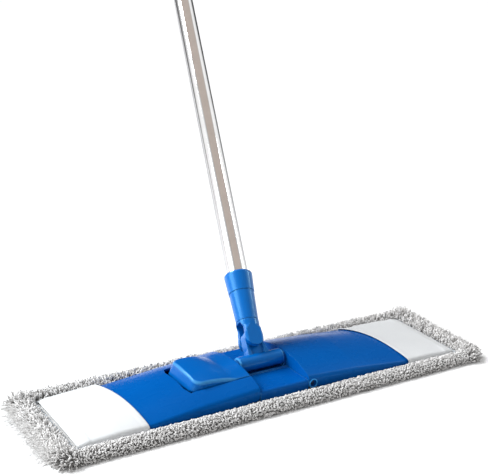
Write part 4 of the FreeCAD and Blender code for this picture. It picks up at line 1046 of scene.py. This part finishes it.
RIM_RADIUS = 4.5 * MM
RIM_ROUND = 0.7 * MM
RIM_STANDS_OUT = 2.0 * MM


def make_hinge_rim():
    """The moulded rim's rounded edge, a ring round the hole at the wing's front, in a pale blue that
    paints its highlight.
    """
    low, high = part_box("right_hinge_pin")
    middle = 0.5 * (low + high)
    turn = np.linspace(0, 2 * np.pi, 49)
    spin = np.arange(10) / 10 * 2 * np.pi
    radius = RIM_RADIUS + RIM_ROUND * np.cos(spin)
    sections = np.zeros((len(turn), len(spin), 3))
    sections[:, :, 0] = middle.x + np.cos(turn)[:, None] * radius
    sections[:, :, 1] = low.y - RIM_STANDS_OUT + RIM_ROUND * np.sin(spin)
    sections[:, :, 2] = middle.z + np.sin(turn)[:, None] * radius
    faces = grid_faces(*sections.shape[:2], wrap=True)
    piece = new_piece("right_hinge_rim", sections.reshape(-1, 3), faces, RIM_PAINTED_HIGHLIGHT, "blue_plastic", "right_wing")
    weld(piece, 0.005 * MM)


make_hinge_rim()


# ---------- floor, light and camera ----------

def stage_plane(name, centre, width, depth, material):
    """A flat card that belongs to the studio, not to the mop."""
    x, y, z = centre
    mesh = bpy.data.meshes.new(name)
    corners = [(x - width / 2, y - depth / 2, z), (x + width / 2, y - depth / 2, z),
               (x + width / 2, y + depth / 2, z), (x - width / 2, y + depth / 2, z)]
    mesh.from_pydata(corners, [], [(0, 1, 2, 3)])
    mesh.materials.append(material)
    plane = bpy.data.objects.new(name, mesh)
    bpy.context.scene.collection.objects.link(plane)
    return plane


floor_material, floor_shader = new_material("floor", 0.9)
floor_grain = noise(floor_material, object_coordinates(floor_material), FLOOR_CLOUD_SCALE, 2.0)
floor_colour = two_tone(floor_material, floor_grain, (0.93, 0.93, 0.93), (0.94, 0.94, 0.94))
link(floor_material, floor_colour, floor_shader.inputs["Base Color"])
floor_shader.inputs["Specular IOR Level"].default_value = 0.1
stage_plane("floor", (0, 0, 0), 60, 60, floor_material)

# A warm grey card overhead, seen only in reflections.
card_material = bpy.data.materials.new("card")
card_material.use_nodes = True
card_shader = card_material.node_tree.nodes["Principled BSDF"]
card_shader.inputs["Base Color"].default_value = (0.02, 0.02, 0.02, 1)
card_shader.inputs["Emission Color"].default_value = (0.46, 0.39, 0.345, 1)
card_shader.inputs["Emission Strength"].default_value = 1.0
card = stage_plane("overhead_card", (0.07, 0.1, 3.0), 3.5, 4.0, card_material)
card.visible_camera = False
card.visible_diffuse = False
card.visible_shadow = False

# The white surroundings are full at the sides and dim in front and behind.
SIDES_START, SIDES_FULL, FRONT_STRENGTH = 0.5, 0.66, 0.2
# A dark flag behind the mop, low on the right: keeps white glare off the broad blue tops.
FLAG_DIRECTION = (0.55, 0.78, 0.3)
FLAG_START, FLAG_FULL, FLAG_STRENGTH = 0.74, 0.86, 0.12

world = bpy.data.worlds.new("studio")
bpy.context.scene.world = world
world.use_nodes = True
background = world.node_tree.nodes["Background"]
direction = add_node(world, "ShaderNodeTexCoord").outputs["Generated"]
split = add_node(world, "ShaderNodeSeparateXYZ")
link(world, direction, split.inputs["Vector"])
sideways = add_node(world, "ShaderNodeMath", operation="ABSOLUTE")
link(world, split.outputs["X"], sideways.inputs[0])
fade = map_range(world, sideways.outputs["Value"], (SIDES_START, SIDES_FULL), (FRONT_STRENGTH, 1.0))
facing = add_node(world, "ShaderNodeVectorMath", operation="DOT_PRODUCT")
facing.inputs[1].default_value = FLAG_DIRECTION
link(world, direction, facing.inputs[0])
flag = map_range(world, facing.outputs["Value"], (FLAG_START, FLAG_FULL), (1.0, FLAG_STRENGTH))
dimmed = add_node(world, "ShaderNodeMath", operation="MULTIPLY")
link(world, fade, dimmed.inputs[0])
link(world, flag, dimmed.inputs[1])
link(world, dimmed.outputs["Value"], background.inputs["Strength"])
background.inputs["Color"].default_value = (1, 1, 1, 1)


def aimed(name, data, place, target):
    """Put a lamp into the scene, pointing from its place to a target."""
    lamp = bpy.data.objects.new(name, data)
    look = (Vector(target) - Vector(place)).to_track_quat("-Z", "Y")
    lamp.matrix_world = Matrix.Translation(place) @ look.to_matrix().to_4x4()
    bpy.context.scene.collection.objects.link(lamp)


def area_lamp(name, energy, size, place, target, **settings):
    """A softbox; the settings are those of Blender's own area light."""
    data = bpy.data.lights.new(name, "AREA")
    data.energy = energy
    data.size = size
    for key, value in settings.items():
        setattr(data, key, value)
    aimed(name, data, place, target)


sun = bpy.data.lights.new("soft_sun", "SUN")
sun.energy = 3.2
sun.angle = math.radians(30)
aimed("soft_sun", sun, (-0.8, 0.95, 1.3), (0, 0, 0))
area_lamp("side_softbox", 6.5, 0.9, (-1.5, -0.35, 0.75), (0, 0, 0.05))
area_lamp("back_softbox", 1.9, 0.35, (-0.5, 0.28, 0.4), (-0.16, -0.01, 0.02), color=(0.86, 0.95, 1.0))
area_lamp("strip_light", 3.2, 0.06, (1.25, -0.12, 1.0), (0.04, 0.08, 0.1), shape="RECTANGLE", size_y=0.9)

bpy.context.scene.view_settings.view_transform = "Standard"

# The camera fitted to the photograph: sensor width and focal length in millimetres.
SENSOR = 36.0
LENS = 1050.0 / 488 * SENSOR
CAMERA_TURN = math.radians(-31.6588)
CAMERA_RISE = math.radians(18.4035)
CAMERA_ROLL = math.radians(1.6931)
LOOK_AT = Vector((0.2354, 0.4192, 0))
DISTANCE = 1.5665


def make_camera():
    """The camera turned about the upright, raised, and rolled, at a distance from its target."""
    turn, rise, roll = CAMERA_TURN, CAMERA_RISE, CAMERA_ROLL
    back = Vector((math.sin(turn) * math.cos(rise), -math.cos(turn) * math.cos(rise), math.sin(rise)))
    right = Vector((0, 0, 1)).cross(back).normalized()
    up = back.cross(right)
    across = right * math.cos(roll) + up * math.sin(roll)
    upright = up * math.cos(roll) - right * math.sin(roll)
    data = bpy.data.cameras.new("camera")
    data.sensor_fit = "HORIZONTAL"
    data.sensor_width = SENSOR
    data.lens = LENS
    camera = bpy.data.objects.new("camera", data)
    placing = Matrix((across, upright, back)).transposed().to_4x4()
    placing.translation = LOOK_AT + back * DISTANCE
    camera.matrix_world = placing
    bpy.context.scene.collection.objects.link(camera)
    bpy.context.scene.camera = camera


make_camera()
